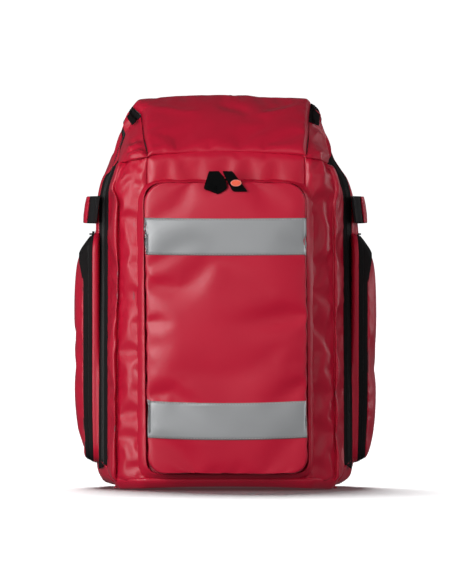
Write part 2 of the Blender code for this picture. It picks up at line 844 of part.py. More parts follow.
def make_side_pocket(side, word, red, black):
    gusset_depth, inner_depth, outer_depth, cover_depth = side_depths()
    gusset = side_frame(f"side_gusset_{word}", side, gusset_depth, 0, 0, red)
    inner = side_frame(f"side_inner_tape_{word}", side, inner_depth, 0, SIDE_TAPE_TAPER, black)
    outer = side_frame(f"side_outer_tape_{word}", side, outer_depth, SIDE_TAPE_TAPER, 2 * SIDE_TAPE_TAPER, black)
    rim = shrunk(side_corners(), 2 * SIDE_TAPE_TAPER)
    face = shrunk(rim, SIDE_COVER_TAPER)
    near, far = (side * distance for distance in cover_depth)
    outer_rings = [side_ring(rim, near), side_ring(face, far)]
    inner_rings = [side_ring(shrunk(rim, WALL), near), side_ring(shrunk(face, WALL / 2), far - side * WALL)]
    cover = tub(f"side_cover_{word}", outer_rings, inner_rings, red)
    return gusset, inner, outer, cover


def make_side_slider(side, word, look):
    coil = side_depths()[1][1]
    centre = side * (coil - SIDE_SLIDER_INWARD)
    bottom = SIDE_TOP_Z + CLEARANCE
    back = SIDE_BACK_Y - SIDE_SLIDER_INSET
    low = (centre - SIDE_TAPE, back - SIDE_SLIDER_LENGTH, bottom)
    high = (centre + SIDE_TAPE, back, bottom + SIDE_SLIDER_HEIGHT)
    return block(f"side_slider_{word}", low, high, look)


# Grab handles
def make_grab_handle(side, word, black):
    """A bowed strip of webbing sewn flat to the side at both ends."""
    near = TUB_HALF_WIDTH + CLEARANCE
    far = near + GRAB_STANDOFF
    back_y = GRAB_FRONT_Y + GRAB_LENGTH
    centre_line = [
        (near, GRAB_FRONT_Y),
        (near, GRAB_FRONT_Y + GRAB_FOOT),
        (far, GRAB_FRONT_Y + GRAB_FOOT + GRAB_RISE),
        (far, back_y - GRAB_FOOT - GRAB_RISE),
        (near, back_y - GRAB_FOOT),
        (near, back_y),
    ]
    slant = GRAB_THICKNESS / 2
    outer_line = [
        (near + GRAB_THICKNESS, back_y),
        (near + GRAB_THICKNESS, back_y - GRAB_FOOT + slant),
        (far + GRAB_THICKNESS, back_y - GRAB_FOOT - GRAB_RISE + slant),
        (far + GRAB_THICKNESS, GRAB_FRONT_Y + GRAB_FOOT + GRAB_RISE - slant),
        (near + GRAB_THICKNESS, GRAB_FRONT_Y + GRAB_FOOT - slant),
        (near + GRAB_THICKNESS, GRAB_FRONT_Y),
    ]
    polygon = [(side * x, y, GRAB_Z) for x, y in centre_line + outer_line]
    return prism(f"grab_handle_{word}", polygon, (0, 0, GRAB_HEIGHT), black)


# Back pads, straps and haul handle
def make_pad(name, low_x, high_x, low_z, high_z, look):
    """A foam pad with a crowned face and drawn-in sides."""
    corners = box_corners(low_x, high_x, low_z, high_z, PAD_RADIUS)
    back = BACK_Y + CLEARANCE
    rings = [
        front_ring(shrunk(corners, PAD_CROWN), back),
        front_ring(corners, back + PAD_THICKNESS / 2),
        front_ring(shrunk(corners, PAD_CROWN), back + PAD_THICKNESS - PAD_CROWN),
        front_ring(shrunk(corners, 3 * PAD_CROWN), back + PAD_THICKNESS),
    ]
    return lofted(name, rings, look)


def make_back_pads(mesh_look):
    made = []
    for side, word in ((-1, "left"), (1, "right")):
        low_x = side * PAD_X - PAD_HALF_WIDTH
        high_x = side * PAD_X + PAD_HALF_WIDTH
        made.append(make_pad(f"back_pad_{word}", low_x, high_x, PAD_BOTTOM_Z, PAD_TOP_Z, mesh_look))
    top = PAD_BOTTOM_Z - LUMBAR_GAP
    half = STRAP_END_X - WEBBING_WIDTH / 2 - LUMBAR_GAP
    lumbar = make_pad("lumbar_pad", -half, half, LUMBAR_BOTTOM_Z, top, mesh_look)
    return [*made, lumbar]


def strap_front_y():
    return BACK_Y + CLEARANCE + PAD_THICKNESS + CLEARANCE


def strap_middle_y():
    return strap_front_y() + STRAP_THICKNESS / 2


def make_strap_yoke(black):
    low = (-YOKE_HALF_WIDTH, BACK_Y + CLEARANCE, YOKE_BOTTOM_Z)
    high = (YOKE_HALF_WIDTH, BACK_Y + CLEARANCE + PAD_THICKNESS, YOKE_TOP_Z)
    return block("strap_yoke", low, high, black)


def strap_station(share):
    """Middle and width of the padded strap at a share of its length, from the yoke to its end."""
    bow = math.sin(math.pi * share)
    x = STRAP_TOP_X + (STRAP_END_X - STRAP_TOP_X) * share
    width = STRAP_TOP_WIDTH + (STRAP_END_WIDTH - STRAP_TOP_WIDTH) * share
    return x, width + (STRAP_WIDTH - (STRAP_TOP_WIDTH + STRAP_END_WIDTH) / 2) * bow


def make_shoulder_strap(side, word, look):
    """A padded strap with rounded edges; its upper end turns on the yoke."""
    stations = 7
    edge = STRAP_THICKNESS / 3
    top_z = STRAP_PIVOT_Z + CLEARANCE
    rings = []
    for step in range(stations):
        share = step / (stations - 1)
        x, width = strap_station(share)
        z = top_z + (STRAP_END_Z - top_z) * share
        low_x = side * x - width / 2
        corners = box_corners(low_x, low_x + width, strap_front_y(), strap_front_y() + STRAP_THICKNESS, edge)
        rings.append(flat_ring(corners, z))
    return lofted(f"shoulder_strap_{word}", rings, look)


def make_strap_hardware(side, word, black, webbing):
    x = side * STRAP_END_X
    middle = strap_middle_y()
    lock_top = STRAP_END_Z - CLEARANCE
    lock_bottom = lock_top - LOCK_HEIGHT
    low = (x - LOCK_WIDTH / 2, middle - LOCK_THICKNESS / 2, lock_bottom)
    high = (x + LOCK_WIDTH / 2, middle + LOCK_THICKNESS / 2, lock_top)
    lock = block(f"ladder_lock_{word}", low, high, black)
    strip_bottom = ANCHOR_Z + CLEARANCE
    low = (x - WEBBING_WIDTH / 2, middle - WEBBING_THICKNESS / 2, strip_bottom)
    high = (x + WEBBING_WIDTH / 2, middle + WEBBING_THICKNESS / 2, lock_bottom - CLEARANCE)
    strip = block(f"strap_webbing_{word}", low, high, webbing)
    return lock, strip


def make_strap_anchor(side, word, webbing):
    """The sewn wing at the foot of the back that the strap's webbing comes down to."""
    x = side * STRAP_END_X
    seat = strap_middle_y() + WEBBING_THICKNESS / 2
    profile = [
        (BACK_Y + CLEARANCE, BOOT_BACK_HEIGHT + ANCHOR_LIP),
        (seat, ANCHOR_Z - ANCHOR_LIP),
        (seat, ANCHOR_Z),
        (BACK_Y + CLEARANCE, ANCHOR_Z),
    ]
    polygon = [(x - WEBBING_WIDTH / 2, y, z) for y, z in profile]
    return prism(f"strap_anchor_{word}", polygon, (WEBBING_WIDTH, 0, 0), webbing)


def make_sternum_strap(side, word, black, webbing):
    edges = []
    for z in (STERNUM_Z - STERNUM_WIDTH / 2, STERNUM_Z, STERNUM_Z + STERNUM_WIDTH / 2):
        x, width = strap_station((STRAP_PIVOT_Z - z) / (STRAP_PIVOT_Z - STRAP_END_Z))
        edges.append(x - width / 2)
    root = side * (min(edges) - CLEARANCE)
    buckle_root = side * (BUCKLE_LENGTH + CLEARANCE)
    middle = strap_middle_y()
    low = (min(root, buckle_root + side * CLEARANCE), middle - STERNUM_THICKNESS / 2, STERNUM_Z - STERNUM_WIDTH / 2)
    high = (max(root, buckle_root + side * CLEARANCE), middle + STERNUM_THICKNESS / 2, STERNUM_Z + STERNUM_WIDTH / 2)
    strip = block(f"sternum_strap_{word}", low, high, webbing)
    tip = side * CLEARANCE
    low = (min(tip, buckle_root), middle - BUCKLE_THICKNESS / 2, STERNUM_Z - BUCKLE_WIDTH / 2)
    high = (max(tip, buckle_root), middle + BUCKLE_THICKNESS / 2, STERNUM_Z + BUCKLE_WIDTH / 2)
    buckle = block(f"sternum_buckle_{word}", low, high, black)
    return strip, buckle


def make_haul_handle(webbing):
    """A webbing loop that hangs down the back, and the two tabs that hold it."""
    back = BACK_Y + CLEARANCE
    outer = HAUL_HALF_WIDTH
    inner = HAUL_HALF_WIDTH - HAUL_BAND
    bottom = HAUL_PIVOT_Z - HAUL_DROP
    shape = [
        (-outer, HAUL_PIVOT_Z),
        (-outer, bottom + HAUL_BAND),
        (-inner, bottom),
        (inner, bottom),
        (outer, bottom + HAUL_BAND),
        (outer, HAUL_PIVOT_Z),
        (inner, HAUL_PIVOT_Z),
        (inner, bottom + 2 * HAUL_BAND),
        (inner - HAUL_BAND, bottom + HAUL_BAND),
        (HAUL_BAND - inner, bottom + HAUL_BAND),
        (-inner, bottom + 2 * HAUL_BAND),
        (-inner, HAUL_PIVOT_Z),
    ]
    loop_back = back + PAD_THICKNESS + CLEARANCE
    polygon = [(x, loop_back, z) for x, z in shape]
    handle = prism("haul_handle", polygon, (0, HAUL_THICKNESS, 0), webbing)
    tabs = []
    for side, word in ((-1, "left"), (1, "right")):
        x = side * (HAUL_HALF_WIDTH + CLEARANCE + HAUL_BAND / 2)
        low = (x - HAUL_BAND / 2, back, HAUL_PIVOT_Z - HAUL_TAB_HEIGHT / 2)
        high = (x + HAUL_BAND / 2, loop_back + HAUL_THICKNESS, HAUL_PIVOT_Z + HAUL_TAB_HEIGHT / 2)
        tabs.append(block(f"haul_tab_{word}", low, high, webbing))
    return handle, tabs


# Main zip sliders
def main_slider_seat():
    """The point on the coil at the top of the pack that the sliders sit on."""
    crown = TUB_CROWN_Z + ZIP_RISE
    return Vector((0, FOLD_Y + ZIP_LEAN * crown, crown))


def make_main_slider(side, word, look):
    """A slider with its pull flopped back, parked at the middle of the top."""
    seat = main_slider_seat()
    x = side * MAIN_SLIDER_SPACING / 2
    half = MAIN_SLIDER_WIDTH / 2
    front = seat.y - MAIN_SLIDER_LENGTH / 2
    back = seat.y + MAIN_SLIDER_LENGTH / 2
    bottom = seat.z + ZIP_RISE + CLEARANCE
    top = bottom + MAIN_SLIDER_HEIGHT
    profile = [
        (front, bottom),
        (back, bottom),
        (back, top - MAIN_PULL_THICKNESS),
        (back + MAIN_PULL_LENGTH, top - MAIN_PULL_THICKNESS),
        (back + MAIN_PULL_LENGTH, top),
        (front, top),
    ]
    polygon = [(x - half, y, z) for y, z in profile]
    return prism(f"main_slider_{word}", polygon, (MAIN_SLIDER_WIDTH, 0, 0), look)


def build_main_compartment(looks):
    make_rear_tub(looks["red"])
    make_zip_tape("rear_zip_tape", 1, looks["black"])
    make_rear_boot(looks["red"])
    make_frame_parts(looks["plastic"], looks["aluminium"])
    make_inner_fittings(looks["plastic"], looks["padding"])
    for side, word in ((-1, "left"), (1, "right")):
        slider = make_main_slider(side, word, looks["black"])
        hang([slider], pivot(f"main_zip_{word}", main_slider_seat()))


def build_door(looks):
    hinge = pivot("door_hinge", (0, FOLD_Y, 0))
    shell, cutter = make_door_shell(looks["red"])
    tape, flap, liner = make_top_pocket(looks["red"], looks["black"], looks["lining"])
    door_tape = make_zip_tape("door_zip_tape", -1, looks["black"])
    boot, boot_cutter = make_door_boot(looks["red"])
    hood = make_hood_panel(looks["red"])
    mesh = make_door_mesh(looks["mesh"])
    flange, cover = make_front_pocket(looks["red"])
    hang([shell, cutter, hood, tape, liner, door_tape, boot, boot_cutter, mesh, flange], hinge)

    foot, angle, _ = slope_frame()
    up_slope = Vector((0, math.cos(angle), math.sin(angle)))
    off_slope = Vector((0, -math.sin(angle), math.cos(angle)))
    flap_line = foot + up_slope * FLAP_START + off_slope * (flap_seat() + FLAP_THICKNESS)
    hang([flap], pivot("top_flap_hinge", flap_line, hinge))

    cover_line = (0, cover_back_y(), POCKET_BOTTOM_Z + FLANGE_TAPER)
    cover_hinge = pivot("pocket_hinge", cover_line, hinge)
    hang([cover, *make_reflective_bands(looks["silver"])], cover_hinge)
    build_front_pulls(looks, cover_hinge)


def build_front_pulls(looks, cover_hinge):
    leans = {-1: LEFT_PULL_LEAN, 1: RIGHT_PULL_LEAN}
    slants = {-1: LEFT_PULL_SLANT, 1: RIGHT_PULL_SLANT}
    for side, word in ((-1, "left"), (1, "right")):
        x = slider_x(side)
        track = pivot(f"front_zip_{word}", pull_pivot(x), cover_hinge)
        hang([make_front_slider(f"front_slider_{word}", x, looks["black"])], track)
        bail = pivot(f"front_bail_{word}", pull_pivot(x), track)
        hang([make_front_pull(f"front_pull_{word}", x, leans[side], slants[side], looks["rubber"])], bail)
        if side > 0:
            hang([make_pull_dot(x, looks["orange"])], bail)


def build_sides(looks):
    for side, word in ((-1, "left"), (1, "right")):
        _, _, outer, cover = make_side_pocket(side, word, looks["red"], looks["black"])
        hinge_x = side * side_depths()[2][0]
        hang([outer, cover], pivot(f"side_hinge_{word}", (hinge_x, SIDE_BACK_Y, 0)))
        slider = make_side_slider(side, word, looks["black"])
        hang([slider], pivot(f"side_zip_{word}", (hinge_x, SIDE_BACK_Y, SIDE_TOP_Z)))
        make_grab_handle(side, word, looks["webbing"])


def build_back(looks):
    make_back_pads(looks["mesh"])
    make_strap_yoke(looks["webbing"])
    for side, word in ((-1, "left"), (1, "right")):
        strap_hinge = pivot(f"strap_hinge_{word}", (0, strap_middle_y(), STRAP_PIVOT_Z))
        pieces = [
            make_shoulder_strap(side, word, looks["mesh"]),
            *make_strap_hardware(side, word, looks["plastic"], looks["webbing"]),
            *make_sternum_strap(side, word, looks["plastic"], looks["webbing"]),
        ]
        hang(pieces, strap_hinge)
        make_strap_anchor(side, word, looks["webbing"])
    handle, _ = make_haul_handle(looks["webbing"])
    middle = BACK_Y + 2 * CLEARANCE + PAD_THICKNESS + HAUL_THICKNESS / 2
    hang([handle], pivot("haul_hinge", (0, middle, HAUL_PIVOT_Z)))


def main():
    clear_scene()
    looks = {
        "red": material("coated_red_fabric", (0.45, 0.008, 0.03), 0.42),
        "black": material("black_zip_tape", (0.012, 0.012, 0.013), 0.75),
        "webbing": material("black_webbing", (0.014, 0.014, 0.015), 0.85),
        "rubber": material("black_moulded_pull", (0.01, 0.01, 0.011), 0.45),
        "orange": material("orange_dot", (0.78, 0.13, 0.05), 0.5),
        "silver": material("reflective_tape", (0.36, 0.38, 0.39), 0.5, 0.2),
        "plastic": material("black_moulded_plastic", (0.02, 0.02, 0.022), 0.5),
        "aluminium": material("aluminium_stay", (0.75, 0.75, 0.76), 0.35, 1.0),
        "padding": material("grey_padded_divider", (0.12, 0.12, 0.13), 0.9),
        "lining": material("grey_lining", (0.16, 0.16, 0.17), 0.85),
        "mesh": material("black_air_mesh", (0.02, 0.02, 0.021), 0.95),
    }
    build_main_compartment(looks)
    build_door(looks)
    build_sides(looks)
    build_back(looks)


main()
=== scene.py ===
"""The looks of a trauma backpack of coated red cloth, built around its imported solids.

Metres, +Z up, with the front of the pack facing -Y. The sections follow the pack as it is sewn together.
"""

import math

import bpy
import numpy as np
from mathutils import Matrix, Vector, noise
from mathutils.bvhtree import BVHTree


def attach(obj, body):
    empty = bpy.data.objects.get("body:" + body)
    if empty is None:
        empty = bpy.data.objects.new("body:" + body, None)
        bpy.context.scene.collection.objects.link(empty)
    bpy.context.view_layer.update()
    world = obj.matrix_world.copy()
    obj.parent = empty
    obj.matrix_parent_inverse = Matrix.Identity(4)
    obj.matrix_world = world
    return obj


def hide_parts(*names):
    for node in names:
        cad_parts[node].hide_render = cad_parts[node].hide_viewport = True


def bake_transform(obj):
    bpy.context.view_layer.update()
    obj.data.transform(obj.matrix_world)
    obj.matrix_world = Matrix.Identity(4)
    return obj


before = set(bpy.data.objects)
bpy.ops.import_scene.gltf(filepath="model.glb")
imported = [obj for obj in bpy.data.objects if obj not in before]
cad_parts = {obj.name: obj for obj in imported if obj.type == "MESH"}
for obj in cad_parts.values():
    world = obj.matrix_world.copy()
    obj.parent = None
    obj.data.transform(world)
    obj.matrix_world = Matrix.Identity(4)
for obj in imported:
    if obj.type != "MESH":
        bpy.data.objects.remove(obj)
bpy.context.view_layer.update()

# Rear tub: the back half of the main compartment, a wrap of coated red cloth over thin foam.
# It is sewn to the zip in front and to the back panel behind, and it is lined with grey cloth.
TUB_HALF_WIDTH = 0.178
SHOULDER_Z = 0.415
TOP_HALF_WIDTH = 0.1345
TOP_CORNER_Z = 0.536
CROWN_Z = 0.540
BASE_Z = 0.0034
FOOT_RADIUS = 0.030
SHOULDER_RADIUS = 0.120
CORNER_RADIUS = 0.016
CROWN_RADIUS = 0.40
BACK_Y = 0.112
BACK_EDGE = 0.010
BACK_DROP = 0.012
FOLD_Y = -0.035
ZIP_LEAN = 0.097
ZIP_HALF_DEPTH = 0.0086
ZIP_STEP = 0.0065
ZIP_RISE = 0.003
RED = (0.47, 0.0060, 0.029)
LINING_GREY = (0.16, 0.165, 0.17)


def new_look(name):
    """A new material, its shader, short ways to add and to link nodes, and the place on the piece.

    add takes a node's kind and settings, and its sockets by name, or by number after an underscore.
    """
    look = bpy.data.materials.new(name)
    look.use_nodes = True
    tree = look.node_tree

    def add(kind, settings=None, **sockets):
        made = tree.nodes.new(kind)
        for name, value in (settings or {}).items():
            setattr(made, name, value)
        for name, value in sockets.items():
            socket = made.inputs[int(name[1:])] if name[0] == "_" else made.inputs[name.replace("_", " ")]
            if hasattr(value, "links"):
                tree.links.new(value, socket)
            else:
                socket.default_value = value
        return made

    place = add("ShaderNodeTexCoord").outputs["Object"]
    return look, tree.nodes["Principled BSDF"], add, tree.links.new, place


def woven(name, colour, roughness, pitch=0.0009, relief=0.25, drift=0.10, gloss=0.5, metal=0.0):
    """Cloth with a fine square weave, slow drifts of shade and gloss, and faint scuffs."""
    look, shader, add, link, place = new_look(name)
    slow = add("ShaderNodeTexNoise", Vector=place, Scale=9.0, Detail=3.0, Roughness=0.55)
    fine = add("ShaderNodeTexNoise", Vector=place, Scale=260.0, Detail=2.0)
    low = tuple(c * (1 - drift) for c in colour)
    high = tuple(min(1.0, c * (1 + drift)) for c in colour)
    shade = add("ShaderNodeMix", {"data_type": "RGBA"}, _0=slow.outputs["Fac"], _6=(*low, 1), _7=(*high, 1))
    link(shade.outputs[2], shader.inputs["Base Color"])
    gloss_mix = add("ShaderNodeMath", {"operation": "ADD"}, _0=slow.outputs["Fac"], _1=fine.outputs["Fac"])
    rough = add("ShaderNodeMapRange", _0=gloss_mix.outputs[0], _1=0.6, _2=1.4)
    rough.inputs[3].default_value = max(0.05, roughness - 0.07)
    rough.inputs[4].default_value = min(1.0, roughness + 0.07)
    link(rough.outputs[0], shader.inputs["Roughness"])
    across = add("ShaderNodeTexWave", {"bands_direction": "DIAGONAL"}, Vector=place, Scale=0.314 / pitch)
    upward = add("ShaderNodeTexWave", {"bands_direction": "Z"}, Vector=place, Scale=0.314 / pitch)
    threads = add(
        "ShaderNodeMath", {"operation": "MULTIPLY"}, _0=across.outputs["Fac"], _1=upward.outputs["Fac"]
    )
    grain = add("ShaderNodeMath", {"operation": "MULTIPLY_ADD"}, _0=fine.outputs["Fac"], _1=0.6)
    link(threads.outputs[0], grain.inputs[2])
    bump = add("ShaderNodeBump", Strength=relief, Distance=0.0002, Height=grain.outputs[0])
    link(bump.outputs[0], shader.inputs["Normal"])
    shader.inputs["Specular IOR Level"].default_value = gloss
    shader.inputs["Metallic"].default_value = metal
    return look


def unit(vectors):
    """The same directions with a length of one."""
    return vectors / np.maximum(np.linalg.norm(vectors, axis=-1, keepdims=True), 1e-9)


def resample(points, count, closed=False):
    """The same line with evenly spaced points."""
    points = np.asarray(points, float)
    if closed:
        points = np.vstack([points, points[:1]])
    steps = np.linalg.norm(np.diff(points, axis=0), axis=1)
    along = np.concatenate([[0.0], np.cumsum(steps)])
    wanted = np.linspace(0, along[-1], count + 1 if closed else count)[:count]
    return np.stack([np.interp(wanted, along, points[:, i]) for i in range(points.shape[1])], axis=1)


def rounded(corners, count):
    """An even closed outline of count points through corners (u, v, radius)."""
    points = []
    for index, (u, v, radius) in enumerate(corners):
        corner = np.array((u, v))
        if radius == 0:
            points.append(corner)
            continue
        to_last = unit(np.array(corners[index - 1][:2]) - corner)
        to_next = unit(np.array(corners[(index + 1) % len(corners)][:2]) - corner)
        half = math.acos(np.clip(to_last @ to_next, -1, 1)) / 2
        reach = radius / math.tan(half)
        start, end = corner + to_last * reach, corner + to_next * reach
        for share in np.linspace(0, 1, 10):
            points.append((1 - share) ** 2 * start + 2 * share * (1 - share) * corner + share**2 * end)
    return resample(points, count, closed=True)


def mirrored(right, middle=()):
    """A whole outline from its right half, bottom to top, starting at the middle of the base."""
    return [(0.0, right[0][1], 0), *right, *middle, *[(-u, v, r) for u, v, r in reversed(right)]]


def tub_corners(inward, rise):
    """Outline of the tub from the front, drawn in at its sides and raised at its top."""
    right = [
        (TUB_HALF_WIDTH - inward, BASE_Z, FOOT_RADIUS),
        (TUB_HALF_WIDTH - inward, SHOULDER_Z, SHOULDER_RADIUS),
        (TOP_HALF_WIDTH - inward, TOP_CORNER_Z + rise, CORNER_RADIUS),
    ]
    return mirrored(right, [(0.0, CROWN_Z + rise, CROWN_RADIUS)])


def zip_corners(side):
    """Outline of the main zip at the door's edge (-1), the coil (0) or the tub's edge (1)."""
    return tub_corners((1 - side) * ZIP_STEP, (1 - side) * ZIP_RISE)


def slump(z):
    """How far the soft right shoulder has sunk in at a height."""
    return 0.0080 * np.clip((z - 0.436) / 0.026, 0, 1) * np.clip((0.540 - z) / 0.025, 0, 1)


def pinch(points):
    """Where the tub's edge has slumped over the left half of the zip, from 0 to 1."""
    share = np.interp(points[:, 2], (0.4400, 0.4600, 0.4850, 0.5000), (0.0, 1.0, 0.5, 0.0))
    return share * (points[:, 0] < -0.1)


def foot_share(points):
    """How far the tub's edge is drawn over the zip's lower end, from 0 to 1."""
    aside = np.clip((np.abs(points[:, 0]) - 0.115) / 0.010, 0, 1)
    return np.interp(points[:, 2], (0.029, 0.040), (1.0, 0.0)) * aside


def wall_swell(z, along):
    """How far the tub's full side wall stands out at a height; along runs from the zip towards the back."""
    full = np.interp(z, (0.10, 0.20, 0.360, 0.374, 0.406), (0.0, 1.0, 1.0, 0.65, 0.0))
    return 0.0068 * np.sin(math.pi * np.clip(along, 0, 1)) ** 0.6 * full


def front_ring(corners, count, y, lean=0.0):
    """An outline stood up in the front view at a depth, which grows with height by lean."""
    x, z = rounded(corners, count).T
    return np.column_stack([x - slump(z) * (x > 0.1), y + lean * z, z])


def new_piece(name, points, faces):
    """A new piece from its points and faces."""
    mesh = bpy.data.meshes.new(name)
    mesh.from_pydata(points, [], faces)
    mesh.update()
    piece = bpy.data.objects.new(name, mesh)
    bpy.context.scene.collection.objects.link(piece)
    return piece


def quads_between(number):
    """The quads of a grid of numbered points."""
    quads = np.stack([number[:-1, :-1], number[:-1, 1:], number[1:, 1:], number[1:, :-1]], axis=-1)
    return quads.reshape(-1, 4)


def skin(name, grid, wrap=False, flip=False):
    """A mesh of quads over rows of points; wrap joins each row's end to its start."""
    grid = np.asarray(grid, float)
    rows, columns = grid.shape[:2]
    number = np.arange(rows * columns).reshape(rows, columns)
    if wrap:
        number = np.hstack([number, number[:, :1]])
    quads = quads_between(number)
    if flip:
        quads = quads[:, ::-1]
    return new_piece(name, grid.reshape(-1, 3).tolist(), quads.tolist())


def points_of(piece):
    found = np.empty(len(piece.data.vertices) * 3)
    piece.data.vertices.foreach_get("co", found)
    return found.reshape(-1, 3)


def put_points(piece, points):
    piece.data.vertices.foreach_set("co", np.asarray(points, float).ravel())
    piece.data.update()


def normals_of(piece):
    found = np.empty(len(piece.data.vertices) * 3)
    piece.data.vertex_normals.foreach_get("vector", found)
    return found.reshape(-1, 3)


def rumple(piece, amount, scale, seed, share=None):
    """Moves the cloth a little along its normals, in a smooth random way."""
    points, normals = points_of(piece), normals_of(piece)
    shift = Vector((seed * 7.13, seed * 3.71, seed * 5.29))
    waves = np.array([noise.noise(Vector(p) * scale + shift) for p in points]) * amount
    put_points(piece, points + normals * (waves if share is None else waves * share)[:, None])


def settle(piece, held, slack=0.03, push=1.0, reach=0.008, bend=3.0, frames=16):
    """Lets spare cloth fold: it is held at the given points, and no point moves further than reach."""
    before = points_of(piece)
    group = piece.vertex_groups.new(name="held")
    group.add([int(i) for i in np.flatnonzero(np.asarray(held).ravel())], 1.0, "REPLACE")
    cloth = piece.modifiers.new("settle", "CLOTH")
    sim = cloth.settings
    sim.quality = 4
    sim.mass = 0.2
    sim.tension_stiffness = 25
    sim.compression_stiffness = 25
    sim.shear_stiffness = 10
    sim.bending_stiffness = bend
    sim.vertex_group_mass = "held"
    sim.shrink_min = -slack
    sim.use_pressure = True
    sim.uniform_pressure_force = push
    sim.effector_weights.gravity = 0
    cloth.collision_settings.use_collision = False
    cloth.point_cache.frame_start = 1
    cloth.point_cache.frame_end = frames
    for moment in range(1, frames + 1):
        bpy.context.scene.frame_set(moment)
    settled = piece.evaluated_get(bpy.context.evaluated_depsgraph_get()).to_mesh()
    after = np.empty(len(settled.vertices) * 3)
    settled.vertices.foreach_get("co", after)
    move = after.reshape(-1, 3) - before
    length = np.linalg.norm(move, axis=1, keepdims=True)
    move *= reach * np.tanh(length / reach) / np.maximum(length, 1e-9)
    piece.modifiers.remove(cloth)
    piece.vertex_groups.remove(group)
    bpy.context.scene.frame_set(1)
    put_points(piece, before + move)


def sewn(piece, look, thickness, lining=None, levels=1, offset=-1.0):
    """Smooth cloth of one thickness, with a lining on its inner face where there is one."""
    piece.data.materials.append(look)
    if levels:
        piece.modifiers.new("smooth", "SUBSURF").levels = levels
        piece.modifiers["smooth"].render_levels = levels
    solid = piece.modifiers.new("thickness", "SOLIDIFY")
    solid.thickness = thickness
    solid.offset = offset
    if lining:
        piece.data.materials.append(lining)
        solid.material_offset = 1
    piece.data.polygons.foreach_set("use_smooth", [True] * len(piece.data.polygons))
    return piece


red_cloth = woven("red_coated_cloth", RED, 0.34, gloss=0.40)
grey_lining = woven("grey_lining_cloth", LINING_GREY, 0.75, pitch=0.0007, relief=0.4)

TUB_COUNT = 270
TUB_ROWS = 20
SWELL_ROWS = 14
mouth_y = FOLD_Y + ZIP_HALF_DEPTH
mouth = front_ring(zip_corners(1), TUB_COUNT, mouth_y, ZIP_LEAN)
back = front_ring(tub_corners(0.0, -BACK_DROP), TUB_COUNT, BACK_Y - BACK_EDGE)
run = np.roll(back, -1, axis=0) - np.roll(back, 1, axis=0)
inward = np.column_stack([-run[:, 2], np.zeros(TUB_COUNT), run[:, 0]])
drawn_in = back + 0.0135 * unit(inward)
drawn_in[:, 1] = BACK_Y - 0.0015
tub_rows = [mouth + (back - mouth) * share for share in np.linspace(0, 1, TUB_ROWS)]
tub_rows += [back + (drawn_in - back) * np.array((s * s, 1 - (1 - s) ** 2, s * s)) for s in (0.35, 0.7, 1.0)]
rear_tub = skin("rear_tub_cloth", tub_rows, wrap=True, flip=True)
held = np.zeros((len(tub_rows), TUB_COUNT), bool)
held[[0, 1, -4, -3, -2, -1]] = True
held[:, tub_rows[0][:, 2] < 0.006] = True
rumple(rear_tub, 0.0012, 22.0, 1, ~held.ravel())
settle(rear_tub, held, slack=0.025, push=0.6, reach=0.005)
tub_points = points_of(rear_tub).reshape(len(tub_rows), TUB_COUNT, 3)
for row, share in enumerate((1.0, 0.82, 0.6, 0.36, 0.14)):
    edge = tub_points[row]
    forward = (1.5 * ZIP_HALF_DEPTH + 0.0060) * share**0.5 + 0.0046 * row * share**0.3
    edge += pinch(edge)[:, None] * np.array((0.0105 * share, -forward, 0))
for row, share in enumerate((1.0, 0.75, 0.45, 0.2)):
    edge = tub_points[row]
    drawn = share * foot_share(edge)
    edge[:, 0] -= np.sign(edge[:, 0]) * (2 * ZIP_STEP - 0.0006) * drawn
    edge[:, 1] -= (2 * ZIP_HALF_DEPTH + 0.0010) * drawn
for row in range(1, SWELL_ROWS):
    wall = tub_points[row]
    aside = np.sign(wall[:, 0]) * (np.abs(wall[:, 0]) > 0.12)
    wall[:, 0] += wall_swell(wall[:, 2], row / SWELL_ROWS) * aside
put_points(rear_tub, tub_points.reshape(-1, 3))
sewn(rear_tub, red_cloth, 0.0026, grey_lining)
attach(rear_tub, "pack")
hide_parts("rear_tub")

# Base boot: a second layer of coated red cloth round the pack's foot, in two parts that meet at the fold.
# The door's part turns up round its front and facets; the rear part covers the base and turns up behind.
BOOT_TOP_Z = 0.0158
BOOT_TURN = 0.010
BOOT_FOLD_Y = -0.0358
SOLE_Z = 0.0008
REAR_BOOT_HALF = 0.1560


def spline(points, count):
    """A smooth even line through the points."""
    points = np.asarray(points, float)
    padded = np.vstack([2 * points[0] - points[1], points, 2 * points[-1] - points[-2]])
    t = np.linspace(0, 1, 12, endpoint=False)[:, None]
    parts = []
    for a, b, c, d in zip(padded, padded[1:], padded[2:], padded[3:]):
        bend, twist = 2 * a - 5 * b + 4 * c - d, 3 * b - a - 3 * c + d
        parts.append(0.5 * (2 * b + (c - a) * t + bend * t**2 + twist * t**3))
    return resample(np.vstack([*parts, points[-1:]]), count)


